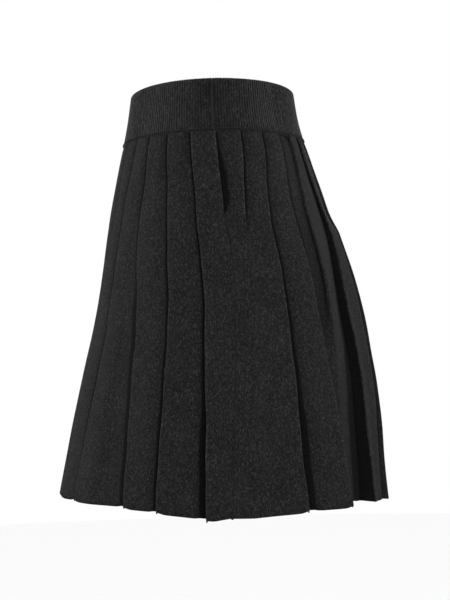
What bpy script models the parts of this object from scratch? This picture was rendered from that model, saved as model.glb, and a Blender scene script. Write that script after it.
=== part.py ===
"""Knit mini skirt: a ribbed waistband in two halves over two knife-pleated panels.

Metres, +Z up. The front faces -Y and the wearer's left side faces +X. The origin is the
middle of the waistband. Each wall is lofted through level sections. A point of a section
is given by how far round it lies, from the left side towards the back, and by how far it
stands out from the section's outline.
"""

import math
from collections import namedtuple

import bpy
import numpy as np

OBJECT_NAME = "knit_mini_skirt"

# Waistband: a 1x1 rib, turned double.
BAND_HEIGHT = 0.0520
BAND_WALL = 0.0026
RIBS_PER_HALF = 124
RIB_RAISE = 0.0005
INNER_STEPS = 31  # segments round the plain inside of one half of the band

# Skirt: fine jersey with knife pleats.
SKIRT_LENGTH = 0.3655
PLEATS = 28
CLOTH = 0.0012
LAYER = 0.0020  # from the middle of one layer of a pressed pleat to the next
FACE_WIDTH = 0.0470  # cloth from a pleat's outer fold to the next inner fold
PRESSED_DEPTH = 0.0044  # from a pressed pleat's outer layer to its innermost
MOST_LAP = 0.66  # of the room between two folds
SHARED_LAP = 0.44  # of that room, where the pleats on both its sides lie under it
LEAST_LAP = -0.0030
SLOPE_ROOM = 0.5  # of a pleat's depth, kept free of its lap so that the face can slope
OPENING_POWER = 0.8  # how fast a pleat opens on the way down
RELAXED_SPREAD = 0.0050  # width over which a pleat that has let go lies flat
RELAXED_DEPTH = 0.0008
RELAX_LENGTH = 0.0600  # length over which a pleat lets go
UNLAPPED = 0.25  # how much of its hold is left when a pleat's layers no longer lap
SHALLOWING = 0.5  # how much of it is left when the pleat starts to lose its depth
HIP_DOWN = 0.1000  # how far below the band the pleats' hip places are given

# Parts of the skirt's length: where folds start to sink, faces to dip and the hem to drop.
SINK_FROM = 0.35
DIP_FROM = 0.3
DIP_TO = 0.8
DROP_FROM = 0.5

SEAM_GAP = 0.0003  # between pieces that are sewn together
OUTLINE_STEPS = 1440
THIRDS = (1.0 / 3.0, 2.0 / 3.0)

# A level section: how far it lies below the top of its piece, its outline's half width
# and half depth, how far its middle lies to the back, and how much wider its back is.
Section = namedtuple("Section", "down half_width half_depth back egg")

BAND_SECTIONS = (
    Section(0.0000, 0.1240, 0.0867, 0.0000, 0.00),
    Section(0.0300, 0.1270, 0.0909, -0.0003, 0.00),
    Section(0.0520, 0.1300, 0.0966, 0.0004, 0.00),
)

SKIRT_SECTIONS = (
    Section(0.0000, 0.1300, 0.0966, 0.0004, 0.00),
    Section(0.0120, 0.1340, 0.1004, 0.0010, 0.01),
    Section(0.0300, 0.1390, 0.1049, 0.0016, 0.02),
    Section(0.0600, 0.1475, 0.1125, 0.0036, 0.04),
    Section(0.0800, 0.1529, 0.1178, 0.0051, 0.05),
    Section(0.0950, 0.1570, 0.1218, 0.0062, 0.06),
    Section(0.1100, 0.1604, 0.1256, 0.0071, 0.07),
    Section(0.1250, 0.1635, 0.1290, 0.0078, 0.07),
    Section(0.1400, 0.1665, 0.1322, 0.0084, 0.08),
    Section(0.1650, 0.1711, 0.1373, 0.0091, 0.09),
    Section(0.1825, 0.1742, 0.1409, 0.0092, 0.09),
    Section(0.2000, 0.1773, 0.1445, 0.0092, 0.10),
    Section(0.2450, 0.1860, 0.1543, 0.0074, 0.12),
    Section(0.2900, 0.1960, 0.1632, 0.0050, 0.13),
    Section(0.3300, 0.2045, 0.1700, 0.0032, 0.14),
    Section(0.3655, 0.2110, 0.1745, 0.0028, 0.15),
)

# A pleat, named by its outer fold. Its place at the seam, the hip and the hem is in even
# pleat widths from the left side. top tells which of its two edges lies on top: EARLY is
# the one met first on the way round from the front to the back, and LATE the other. hold
# is how far down it stays pressed. At the hem, depth is how far its inner fold lies behind
# it, sink how far it lies inside the outline itself, fall how far its face dips, and drop
# how far it hangs below the hem line.
Pleat = namedtuple("Pleat", "number seam hip hem top hold depth sink fall drop")
EARLY, LATE = 1, -1
HELD = 1.0  # pressed all the way down

FRONT_PLEATS = (
    Pleat(-14, -13.95, -13.90, -13.92, EARLY, 0.080, 0.016, 0.000, 0.000, 0.000),
    Pleat(-13, -13.00, -13.15, -13.30, EARLY, 0.095, 0.016, 0.000, 0.003, 0.001),
    Pleat(-12, -12.00, -12.20, -12.10, EARLY, HELD, 0.019, 0.000, 0.001, 0.000),
    Pleat(-11, -11.00, -11.10, -10.95, EARLY, HELD, 0.021, 0.001, 0.000, 0.001),
    Pleat(-10, -10.00, -10.05, -9.90, EARLY, HELD, 0.018, 0.000, 0.002, -0.001),
    Pleat(-9, -9.00, -9.00, -8.95, EARLY, HELD, 0.017, 0.000, 0.001, 0.000),
    Pleat(-8, -8.00, -8.00, -8.00, EARLY, HELD, 0.019, 0.000, 0.001, 0.001),
    Pleat(-7, -6.95, -7.10, -7.10, EARLY, HELD, 0.018, 0.000, 0.001, -0.001),
    Pleat(-6, -5.85, -6.20, -6.30, EARLY, HELD, 0.017, 0.001, 0.001, -0.001),
    Pleat(-5, -4.80, -5.28, -5.45, EARLY, HELD, 0.017, 0.000, 0.001, -0.002),
    Pleat(-4, -3.78, -4.33, -4.50, EARLY, HELD, 0.018, 0.000, 0.001, -0.003),
    Pleat(-3, -2.87, -3.08, -2.60, EARLY, HELD, 0.024, 0.004, 0.000, -0.002),
    Pleat(-2, -1.88, -1.79, -1.61, EARLY, HELD, 0.018, 0.001, 0.001, 0.000),
    Pleat(-1, -0.88, -0.73, -0.39, EARLY, HELD, 0.026, 0.000, 0.001, 0.006),
    Pleat(0, 0.05, 0.11, 0.10, LATE, 0.070, 0.016, 0.000, 0.000, 0.002),
)

BACK_PLEATS = (
    Pleat(1, 1.03, 0.77, 0.63, LATE, 0.085, 0.016, 0.000, 0.003, 0.002),
    Pleat(2, 1.98, 1.58, 1.84, LATE, HELD, 0.018, 0.001, 0.001, 0.000),
    Pleat(3, 2.94, 2.58, 3.15, LATE, HELD, 0.020, 0.000, 0.001, 0.001),
    Pleat(4, 3.86, 3.36, 3.62, EARLY, 0.165, 0.018, 0.018, 0.000, -0.002),
    Pleat(5, 4.84, 4.85, 4.25, EARLY, HELD, 0.024, 0.000, 0.001, 0.000),
    Pleat(6, 5.88, 5.85, 5.30, EARLY, HELD, 0.018, 0.001, 0.001, 0.001),
    Pleat(7, 6.92, 6.90, 6.45, EARLY, HELD, 0.020, 0.000, 0.000, 0.000),
    Pleat(8, 7.95, 7.95, 7.65, EARLY, HELD, 0.018, 0.000, 0.001, 0.000),
    Pleat(9, 8.97, 8.90, 8.80, EARLY, HELD, 0.019, 0.001, 0.001, 0.001),
    Pleat(10, 9.98, 9.75, 9.70, EARLY, HELD, 0.017, 0.000, 0.002, 0.000),
    Pleat(11, 11.00, 10.75, 10.85, EARLY, HELD, 0.021, 0.001, 0.000, 0.001),
    Pleat(12, 12.02, 12.00, 12.15, EARLY, HELD, 0.018, 0.000, 0.001, 0.002),
    Pleat(13, 13.03, 13.10, 13.00, EARLY, HELD, 0.020, 0.000, 0.001, -0.001),
)

# A pleat at one level: its points, which edge is on top, how far its layers lie over each
# other, how far its inner fold lies behind it, and how far it lies inside the outline.
Fold = namedtuple("Fold", "points top lap depth sink")

ALL_PLEATS = {pleat.number: pleat for pleat in FRONT_PLEATS + BACK_PLEATS}

WAISTBAND_COLOUR = (0.021, 0.021, 0.022, 1.0)
SKIRT_COLOUR = (0.018, 0.018, 0.019, 1.0)
KNIT_ROUGHNESS = 0.9


def blend(low, high, share):
    """The value that lies a share of the way from low to high."""
    return low + (high - low) * share


def ease(start, end, value):
    """0 before start and 1 after end, with a smooth rise between them."""
    share = min(max((value - start) / (end - start), 0.0), 1.0)
    return share * share * (3.0 - 2.0 * share)


class Outline:
    """The outline of one level section, measured along its length from the left side."""

    def __init__(self, section):
        turn = np.linspace(-1.2 * math.pi, 1.2 * math.pi, OUTLINE_STEPS)
        width = section.half_width * (1.0 + section.egg * np.sin(turn))
        depth = section.back + section.half_depth * np.sin(turn)
        self.points = np.stack([width * np.cos(turn), depth], axis=1)
        steps = np.hypot(*np.diff(self.points, axis=0).T)
        length = np.concatenate([[0.0], np.cumsum(steps)])
        self.length = length - np.interp(0.0, turn, length)
        self.round = np.interp(math.pi, turn, length) - np.interp(-math.pi, turn, length)
        tangent = np.gradient(self.points, axis=0)
        tangent /= np.hypot(*tangent.T)[:, None]
        self.normal = np.stack([tangent[:, 1], -tangent[:, 0]], axis=1)

    def place(self, along, out):
        """The (x, y) points that lie along by these lengths and stand out by these amounts."""
        point = [np.interp(along, self.length, self.points[:, axis]) for axis in (0, 1)]
        normal = [np.interp(along, self.length, self.normal[:, axis]) for axis in (0, 1)]
        return np.stack(point, axis=1) + np.stack(normal, axis=1) * np.array(out)[:, None]


def pleat_place(number, down):
    """A pleat's place round the section, in even pleat widths from the left side."""
    turns = (number + PLEATS // 2) // PLEATS
    pleat = pleat_sizes(number)
    if down < HIP_DOWN:
        place = blend(pleat.seam, pleat.hip, ease(0.0, HIP_DOWN, down))
    else:
        place = blend(pleat.hip, pleat.hem, (down - HIP_DOWN) / (SKIRT_LENGTH - HIP_DOWN))
    return place + turns * PLEATS


def pleat_sizes(number):
    """The pleat with this number, counted on round the skirt."""
    turns = (number + PLEATS // 2) // PLEATS
    return ALL_PLEATS[number - turns * PLEATS]


def fold_at(number, down, width):
    """The inner and outer fold of a pleat at one level, in the order of the way round.

    width is one even pleat width at this level. Pressed, the cloth turns back at the inner
    fold, over the layer before it. Where the pleat has let go, it slants to the outer fold.
    """
    pleat = pleat_sizes(number)
    along = pleat_place(number, down) * width
    room_under = abs(along - pleat_place(number - pleat.top, down) * width)
    room_over = abs(along - pleat_place(number + pleat.top, down) * width)
    at_hem = down / SKIRT_LENGTH
    open_depth = pleat.depth * at_hem ** OPENING_POWER
    shared = pleat_sizes(number + pleat.top).top != pleat.top
    most_lap = (SHARED_LAP if shared else MOST_LAP) * min(room_under, room_over)
    most_lap = max(most_lap - SLOPE_ROOM * open_depth, LEAST_LAP)
    held = min(max(1.0 - (down - pleat.hold) / RELAX_LENGTH, 0.0), 1.0)

    lap = math.sqrt(FACE_WIDTH ** 2 - open_depth ** 2) - room_under
    lap = min(max(lap, LEAST_LAP), most_lap)
    lap = blend(-RELAXED_SPREAD, lap, ease(UNLAPPED, 1.0, held))
    depth = blend(RELAXED_DEPTH, max(open_depth, PRESSED_DEPTH), ease(0.0, SHALLOWING, held))
    sink = pleat.sink * ease(SINK_FROM, 1.0, at_hem)

    ends = np.array([(lap, -depth), (0.0, 0.0)])
    slanting = blend(ends[0], ends[1], np.array(THIRDS)[:, None])
    pressed = ends + [(0.0, LAYER), (0.0, -LAYER)]
    between = blend(slanting, pressed, 1.0 if held == 1.0 else ease(0.0, LAYER, lap))
    points = np.concatenate([ends[:1], between, ends[1:]])[:: pleat.top]
    return Fold(points * (pleat.top, 1.0) + (along, -sink), pleat.top, lap, depth, sink)


def beside_fold(fold, out, is_over):
    """How far out a face stands beside a fold, so that it clears the fold's own layers."""
    if fold.lap <= 0.0:
        return out
    if is_over:
        return max(out, 2.0 * LAYER - fold.depth - fold.sink)
    return min(out, -2.0 * LAYER - fold.sink)


def face_points(first, second, dip):
    """The two points of the face between two folds, with the most that it dips."""
    start, end = first.points[-1], second.points[0]
    length = end[0] - start[0]
    near = max(first.lap / length, 0.0)
    far = 1.0 - max(second.lap / length, 0.0)
    middle = 0.5 * (near + far)
    shares = max(near, min(THIRDS[0], middle)), min(far, max(THIRDS[1], middle))
    line = blend(start, end, np.array(shares)[:, None])
    line[:, 1] -= dip
    line[0, 1] = beside_fold(first, line[0, 1], first.top == EARLY)
    line[1, 1] = beside_fold(second, line[1, 1], second.top == LATE)
    return line


def seam_fold(fold, last, towards):
    """The end of cloth that is sewn to the inner fold of a side pleat.

    It lies beside the fold's last point, on the side that towards gives.
    """
    step = fold.points[last] - fold.points[1 if last == 0 else -2]
    level, upright = abs(step) / math.hypot(*step)
    clear = SEAM_GAP + 0.5 * CLOTH * upright * (1.0 + level)
    end = fold.points[last] + (towards * clear, 0.0)
    return fold._replace(points=end[None])


def panel_middle(pleats, down, width):
    """The middle line of a panel's section, from one side seam to the other.

    The seams lie at the inner folds of the two side pleats, which are the front's own.
    """
    numbers = [pleat.number for pleat in pleats]
    folds = [fold_at(number, down, width) for number in numbers]
    if pleats is BACK_PLEATS:
        numbers = [numbers[0] - 1, *numbers]
        before = fold_at(numbers[0], down, width)
        after = fold_at(numbers[-1] + 1, down, width)
        folds = [seam_fold(before, -1, 1.0), *folds, seam_fold(after, 0, -1.0)]
    line = [folds[0].points]
    for number, first, second in zip(numbers, folds, folds[1:]):
        dip = pleat_sizes(number).fall * ease(DIP_FROM, DIP_TO, down / SKIRT_LENGTH)
        line += [face_points(first, second, dip), second.points]
    return np.concatenate(line)


def drop_at(along, down, width):
    """How far points hang below their level, from the drops given for the pleats."""
    numbers = range(-PLEATS // 2, PLEATS // 2 + 2)
    places = [pleat_place(number, down) * width for number in numbers]
    drops = [pleat_sizes(number).drop for number in numbers]
    return np.interp(along, places, drops) * ease(DROP_FROM, 1.0, down / SKIRT_LENGTH)


def both_sides(middle, wall):
    """The outer and inner lines of a wall whose middle line is given, in the same plane."""
    step = np.diff(middle, axis=0)
    step /= np.hypot(*step.T)[:, None]
    side = np.stack([step[:, 1], -step[:, 0]], axis=1)
    before = np.concatenate([side[:1], side])
    after = np.concatenate([side, side[-1:]])
    miter = (before + after) / (1.0 + np.sum(before * after, axis=1))[:, None]
    return middle + 0.5 * wall * miter, middle - 0.5 * wall * miter


def skirt_rows(pleats):
    """The outer and inner rows of a skirt panel's points, from the waist to the hem."""
    top = -0.5 * BAND_HEIGHT - SEAM_GAP
    rows = []
    for section in SKIRT_SECTIONS:
        outline = Outline(section)
        width = outline.round / PLEATS
        line = panel_middle(pleats, section.down, width)
        height = top - section.down - drop_at(line[:, 0], section.down, width)
        middle = outline.place(line[:, 0], line[:, 1] - 0.5 * CLOTH)
        rows.append([np.column_stack([side, height]) for side in both_sides(middle, CLOTH)])
    outer, inner = zip(*rows)
    return outer, inner


def band_rows(start):
    """The outer and inner rows of half a waistband, from start half rounds on."""
    rows = []
    rib_points = np.arange(2 * RIBS_PER_HALF + 1)
    for section in BAND_SECTIONS:
        outline = Outline(section)
        half = 0.5 * outline.round
        ends = (start * half + 0.5 * SEAM_GAP, (start + 1) * half - 0.5 * SEAM_GAP)
        height = 0.5 * BAND_HEIGHT - section.down
        ribbed = outline.place(
            np.linspace(*ends, len(rib_points)), -RIB_RAISE * (1 - rib_points % 2)
        )
        plain = outline.place(
            np.linspace(*ends, INNER_STEPS + 1), np.full(INNER_STEPS + 1, -BAND_WALL)
        )
        rows.append([np.insert(side, 2, height, axis=1) for side in (ribbed, plain)])
    outer, inner = zip(*rows)
    return outer, inner


def shorter_ways(rows):
    """Whether each quad of a grid of points is shorter across from its first corner."""
    grid = np.array(rows)
    one = np.linalg.norm(grid[1:, 1:] - grid[:-1, :-1], axis=2)
    other = np.linalg.norm(grid[1:, :-1] - grid[:-1, 1:], axis=2)
    return one < other


def grid_faces(first, columns, ways, outward):
    """The triangles of a grid of points, numbered row by row from first."""
    faces = []
    for row in range(len(ways)):
        for column in range(columns - 1):
            start = first + row * columns + column
            below, across, end = start + columns, start + columns + 1, start + 1
            if ways[row][column]:
                pair = [(start, below, across), (start, across, end)]
            else:
                pair = [(start, below, end), (below, across, end)]
            faces += pair if outward else [face[::-1] for face in pair]
    return faces


def wall_mesh(name, outer, inner):
    """A closed wall between rows of outer points and rows of as many or fewer inner ones."""
    outer_count, inner_count, rows = len(outer[0]), len(inner[0]), len(outer)
    inner_first = outer_count * rows
    each = (outer_count - 1) // (inner_count - 1)  # outer segments for each inner one
    ways = shorter_ways(outer)
    faces = grid_faces(0, outer_count, ways, True)
    faces += grid_faces(inner_first, inner_count, ways, False)
    for row, is_top in ((0, True), (rows - 1, False)):
        for column in range(inner_count - 1):
            outer_corner = row * outer_count + column * each
            inner_corner = inner_first + row * inner_count + column
            face = [*range(outer_corner, outer_corner + each + 1)]
            face += [inner_corner + 1, inner_corner]
            faces.append(face if is_top else face[::-1])
    for row in range(rows - 1):
        for column, inner_column, is_start in ((0, 0, True), (-1, -1, False)):
            above = row * outer_count + column % outer_count
            inner_above = inner_first + row * inner_count + inner_column % inner_count
            face = (above, inner_above, inner_above + inner_count, above + outer_count)
            faces.append(face if is_start else face[::-1])
    mesh = bpy.data.meshes.new(name)
    mesh.from_pydata(np.concatenate([*outer, *inner]).tolist(), [], faces)
    mesh.validate()
    return mesh


def knit_material(name, colour):
    """A dull, soft knit in one colour."""
    material = bpy.data.materials.new(name)
    material.use_nodes = True
    shader = material.node_tree.nodes["Principled BSDF"]
    shader.inputs["Base Color"].default_value = colour
    shader.inputs["Roughness"].default_value = KNIT_ROUGHNESS
    shader.inputs["Metallic"].default_value = 0.0
    return material


def add_piece(collection, name, rows, material, sharp_angle):
    """One piece of the skirt, from its outer and inner rows of points."""
    mesh = wall_mesh(name, *rows)
    mesh.materials.append(material)
    mesh.shade_smooth()
    mesh.set_sharp_from_angle(angle=math.radians(sharp_angle))
    piece = bpy.data.objects.new(name, mesh)
    collection.objects.link(piece)
    return piece


def main():
    for old in list(bpy.data.objects):
        bpy.data.objects.remove(old, do_unlink=True)
    collection = bpy.data.collections.new(OBJECT_NAME)
    bpy.context.scene.collection.children.link(collection)
    band_knit = knit_material("charcoal_rib_knit", WAISTBAND_COLOUR)
    skirt_knit = knit_material("charcoal_jersey_knit", SKIRT_COLOUR)
    add_piece(collection, "waistband_front", band_rows(-1), band_knit, 50)
    add_piece(collection, "waistband_back", band_rows(0), band_knit, 50)
    add_piece(collection, "skirt_front", skirt_rows(FRONT_PLEATS), skirt_knit, 40)
    add_piece(collection, "skirt_back", skirt_rows(BACK_PLEATS), skirt_knit, 40)


main()
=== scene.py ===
"""Looks of the knit mini skirt: ribbed waistband, knife-pleated jersey, studio and camera.

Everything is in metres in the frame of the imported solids, +Z up. The front faces -Y and the
wearer's left side, which the photograph shows, faces +X. The cloth is laid out in two
lengths: along, round a level section from the left side towards the back, and out, away
from the section's outline.
"""

from __future__ import annotations

import logging
import math
from collections.abc import Sequence
from dataclasses import dataclass, field, replace
from enum import Enum
from functools import cached_property

import bpy
import numpy as np
from mathutils import Matrix, Vector


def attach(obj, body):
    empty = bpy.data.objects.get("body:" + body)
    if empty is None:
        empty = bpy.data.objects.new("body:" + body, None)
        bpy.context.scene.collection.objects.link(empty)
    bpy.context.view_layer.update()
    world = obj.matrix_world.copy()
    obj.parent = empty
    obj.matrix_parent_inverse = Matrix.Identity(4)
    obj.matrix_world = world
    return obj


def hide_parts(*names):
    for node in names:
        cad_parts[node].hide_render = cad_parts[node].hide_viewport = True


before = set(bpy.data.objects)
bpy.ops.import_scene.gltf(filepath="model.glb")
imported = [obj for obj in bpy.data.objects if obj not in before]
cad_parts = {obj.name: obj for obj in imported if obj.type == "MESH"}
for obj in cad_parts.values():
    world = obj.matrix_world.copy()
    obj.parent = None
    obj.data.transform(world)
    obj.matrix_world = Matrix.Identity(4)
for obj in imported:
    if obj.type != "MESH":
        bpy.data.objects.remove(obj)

LOG = logging.getLogger("knit_mini_skirt")
BODY = "root"
CLOTH_MAP = "cloth"
ROUND_SHARE = "round_share"
OUTWARD = "outward"
# The groove and edge attributes hold distances that tell the knit where to paint shade beside each
# pleat edge and the band's side seams, and a painted highlight on each fold edge.
GROOVE = "groove"
EDGE = "edge"
FAR = 0.03  # stands for no groove or edge near, in metres
BAND_HEIGHT = 0.0520
RIB_PITCH = 0.00272

Number = float | bpy.types.NodeSocket


class Top(Enum):
    """Which edge of a pleat lies on top, on the way round from the front to the back."""

    EARLY = 1
    LATE = -1


class Half(Enum):
    """The two halves of the skirt, by the half round at which each begins."""

    FRONT = -1
    BACK = 0


@dataclass(frozen=True)
class Level:
    """A level section's outline, and how far it lies below the top of its piece.

    The outline is an oval whose middle lies a little back, and the egg widens its back half.
    """

    down: float
    half_width: float
    half_depth: float
    back: float
    egg: float


@dataclass(frozen=True)
class Pleat:
    """A pleat, named by its outer fold.

    The fold's places below the band, at the hip and at the hem are counted in even pleat
    widths. Hold is the length down to which it is pressed, depth how far its inner fold
    stands in at the hem, sink how far the outer fold stands in there, fall how far the face
    after it dips and drop how much lower the hem hangs.
    """

    number: int
    seam: float
    hip: float
    hem: float
    top: Top
    hold: float
    depth: float
    sink: float
    fall: float
    drop: float


@dataclass(frozen=True)
class Crease:
    """A soft ridge, or a trough where its height is negative, between two points.

    Its ends are given as a place in even pleat widths and a length down from the band.
    """

    place: float
    down: float
    end_place: float
    end_down: float
    width: float
    height: float


@dataclass(frozen=True)
class PaintedSlit:
    """A stretch beside a pleat's edge where a dark gap is painted as shade.

    The painted gap opens from its start to where it is widest, and closes from where it narrows to
    its end, all as lengths down from the band.
    """

    number: int
    start: float
    widest: float
    narrows: float
    end: float
    width: float


@dataclass(frozen=True)
class Wave:
    """A soft unevenness of the cloth, round the skirt and down it."""

    height: float
    per_turn: float
    per_metre: float
    start: float = 0.0

    def at(self, turn: np.ndarray, down: float) -> np.ndarray:
        """Read the wave."""
        return self.height * np.sin(self.per_turn * turn + self.per_metre * down + self.start)


BAND_LEVELS: tuple[Level, ...] = (
    Level(0.0000, 0.1240, 0.0867, 0.0000, 0.00),
    Level(0.0300, 0.1270, 0.0909, -0.0003, 0.00),
    Level(BAND_HEIGHT, 0.1300, 0.0966, 0.0004, 0.00),
)

SKIRT_LEVELS: tuple[Level, ...] = (
    Level(0.0000, 0.1300, 0.0966, 0.0004, 0.00),
    Level(0.0120, 0.1340, 0.1004, 0.0010, 0.01),
    Level(0.0300, 0.1390, 0.1049, 0.0016, 0.02),
    Level(0.0600, 0.1475, 0.1125, 0.0036, 0.04),
    Level(0.0800, 0.1529, 0.1178, 0.0051, 0.05),
    Level(0.0950, 0.1570, 0.1218, 0.0062, 0.06),
    Level(0.1100, 0.1604, 0.1256, 0.0071, 0.07),
    Level(0.1250, 0.1635, 0.1290, 0.0078, 0.07),
    Level(0.1400, 0.1665, 0.1322, 0.0084, 0.08),
    Level(0.1650, 0.1711, 0.1373, 0.0091, 0.09),
    Level(0.1825, 0.1742, 0.1409, 0.0092, 0.09),
    Level(0.2000, 0.1773, 0.1445, 0.0092, 0.10),
    Level(0.2450, 0.1860, 0.1543, 0.0074, 0.12),
    Level(0.2900, 0.1960, 0.1632, 0.0050, 0.13),
    Level(0.3300, 0.2045, 0.1700, 0.0032, 0.14),
    Level(0.3655, 0.2110, 0.1758, 0.0015, 0.15),
)

EARLY, LATE = Top.EARLY, Top.LATE
HELD = 1.0  # pressed all the way down

FRONT_PLEATS: tuple[Pleat, ...] = (
    Pleat(-14, -13.95, -13.90, -13.92, EARLY, 0.080, 0.016, 0.000, 0.000, 0.000),
    Pleat(-13, -13.00, -13.15, -13.30, EARLY, 0.095, 0.016, 0.000, 0.003, 0.001),
    Pleat(-12, -12.00, -12.20, -12.10, EARLY, HELD, 0.019, 0.000, 0.001, 0.000),
    Pleat(-11, -11.00, -11.10, -10.95, EARLY, HELD, 0.021, 0.001, 0.000, 0.001),
    Pleat(-10, -10.00, -10.05, -9.90, EARLY, HELD, 0.018, 0.000, 0.002, -0.001),
    Pleat(-9, -9.00, -9.00, -8.95, EARLY, HELD, 0.017, 0.000, 0.001, 0.000),
    Pleat(-8, -8.00, -8.00, -8.00, EARLY, HELD, 0.019, 0.000, 0.001, 0.001),
    Pleat(-7, -6.95, -7.10, -7.10, EARLY, HELD, 0.018, 0.000, 0.001, -0.001),
    Pleat(-6, -5.85, -6.20, -6.30, EARLY, HELD, 0.006, 0.001, 0.001, -0.001),
    Pleat(-5, -4.80, -5.28, -5.45, EARLY, HELD, 0.006, 0.000, 0.001, -0.002),
    Pleat(-4, -3.78, -4.33, -4.50, EARLY, HELD, 0.006, 0.000, 0.001, -0.003),
    Pleat(-3, -2.87, -3.08, -2.60, EARLY, HELD, 0.011, 0.004, 0.000, -0.002),
    Pleat(-2, -1.88, -1.79, -1.61, EARLY, HELD, 0.011, 0.001, 0.001, 0.000),
    Pleat(-1, -0.88, -0.73, -0.39, EARLY, HELD, 0.017, 0.000, 0.001, 0.006),
    Pleat(0, 0.05, 0.11, 0.10, LATE, 0.070, 0.016, 0.000, 0.000, 0.002),
)

BACK_PLEATS: tuple[Pleat, ...] = (
    Pleat(1, 1.03, 0.77, 0.63, LATE, 0.085, 0.016, 0.000, 0.003, 0.002),
    Pleat(2, 1.98, 1.58, 1.84, LATE, HELD, 0.013, 0.001, 0.001, 0.000),
    Pleat(3, 2.94, 2.58, 3.15, LATE, HELD, 0.020, 0.000, 0.001, 0.001),
    Pleat(4, 3.86, 3.36, 3.62, EARLY, 0.165, 0.018, 0.018, 0.000, -0.002),
    Pleat(5, 4.84, 4.85, 4.25, EARLY, HELD, 0.020, 0.000, 0.000, 0.002),
    Pleat(6, 5.88, 5.85, 5.30, EARLY, HELD, 0.010, 0.004, 0.000, 0.004),
    Pleat(7, 6.92, 6.90, 6.45, EARLY, HELD, 0.012, 0.003, 0.000, 0.004),
    Pleat(8, 7.95, 7.95, 7.65, EARLY, HELD, 0.018, 0.000, 0.001, 0.000),
    Pleat(9, 8.97, 8.90, 8.80, EARLY, HELD, 0.019, 0.001, 0.001, 0.001),
    Pleat(10, 9.98, 9.75, 9.70, EARLY, HELD, 0.017, 0.000, 0.002, 0.000),
    Pleat(11, 11.00, 10.75, 10.85, EARLY, HELD, 0.021, 0.001, 0.000, 0.001),
    Pleat(12, 12.02, 12.00, 12.15, EARLY, HELD, 0.018, 0.000, 0.001, 0.002),
    Pleat(13, 13.03, 13.10, 13.00, EARLY, HELD, 0.020, 0.000, 0.001, -0.001),
)

CREASES: tuple[Crease, ...] = (
    # Wearer's left side, as the photograph shows it.
    Crease(0.30, 0.100, 0.72, 0.098, 0.0040, -0.0014),
    Crease(0.10, 0.105, 0.95, 0.128, 0.0120, 0.0014),
    Crease(0.70, 0.120, 0.66, 0.350, 0.0090, 0.0016),
    Crease(0.98, 0.150, 1.05, 0.360, 0.0120, -0.0014),
    Crease(1.25, 0.060, 1.10, 0.230, 0.0080, -0.0008),
    Crease(-0.35, 0.080, -0.05, 0.330, 0.0130, -0.0012),
    Crease(-1.25, 0.100, -1.05, 0.350, 0.0120, -0.0010),
    Crease(-2.35, 0.060, -2.15, 0.340, 0.0110, 0.0009),
    Crease(-3.60, 0.110, -3.40, 0.350, 0.0150, -0.0016),
    Crease(2.20, 0.120, 2.45, 0.350, 0.0110, 0.0012),
    Crease(4.20, 0.080, 3.95, 0.330, 0.0110, -0.0010),
    # The face behind the fifth pleat stands out, and a small crease ends the slit.
    Crease(5.62, 0.100, 5.08, 0.400, 0.0150, 0.0100),
    Crease(0.52, 0.1135, 0.20, 0.1120, 0.0030, -0.0012),
    # Hidden sides, in the same kind.
    Crease(-5.80, 0.090, -5.90, 0.340, 0.0120, -0.0011),
    Crease(-7.50, 0.070, -7.55, 0.330, 0.0120, 0.0010),
    Crease(-9.45, 0.110, -9.40, 0.350, 0.0140, -0.0013),
    Crease(-11.50, 0.080, -11.45, 0.340, 0.0120, 0.0010),
    Crease(-13.40, 0.105, -12.95, 0.120, 0.0110, 0.0013),
    Crease(-13.30, 0.130, -13.32, 0.350, 0.0090, 0.0014),
    Crease(5.40, 0.100, 4.85, 0.340, 0.0120, -0.0011),
    Crease(7.40, 0.080, 7.00, 0.350, 0.0130, 0.0010),
    Crease(9.40, 0.120, 9.25, 0.340, 0.0130, -0.0014),
    Crease(11.40, 0.070, 11.50, 0.330, 0.0120, 0.0009),
    Crease(13.55, 0.100, 13.50, 0.340, 0.0110, -0.0012),
)

# Dark gaps painted as shade beside pleat edges.
PAINTED_SLITS: tuple[PaintedSlit, ...] = (
    PaintedSlit(0, 0.006, 0.050, 0.080, 0.106, 0.0056),
    PaintedSlit(1, 0.004, 0.020, 0.040, 0.080, 0.0004),
    PaintedSlit(-1, 0.150, 0.300, 0.366, 0.500, 0.0012),
    PaintedSlit(-13, 0.006, 0.040, 0.070, 0.108, 0.0040),
)

# The cloth's unevenness, and the wavering of the pleat edges. Each goes round in whole turns,
# so that the two panels agree at both side seams.
UNEVEN_WAVES: tuple[Wave, ...] = (Wave(1.0, 5.0, 34.0), Wave(0.7, 11.0, -47.0, 1.3))
SWAY_WAVES: tuple[Wave, ...] = (Wave(1.0, 2.0, 52.0), Wave(0.5, -4.0, 117.0))

# Pleats whose inner walls face the light, so no shade is painted in them and no highlight on their
# edges.
LIT_UNDERSIDES: frozenset[int] = frozenset({4, 6, 7})


def blend(
    low: np.ndarray | float, high: np.ndarray | float, share: np.ndarray | float
) -> np.ndarray | float:
    """Find the value that lies a share of the way from low to high."""
    return low + (high - low) * share


def ease(start: float, end: float, value: float) -> float:
    """Rise smoothly from 0 before start to 1 after end."""
    share = min(max((value - start) / (end - start), 0.0), 1.0)
    return share * share * (3.0 - 2.0 * share)


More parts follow.
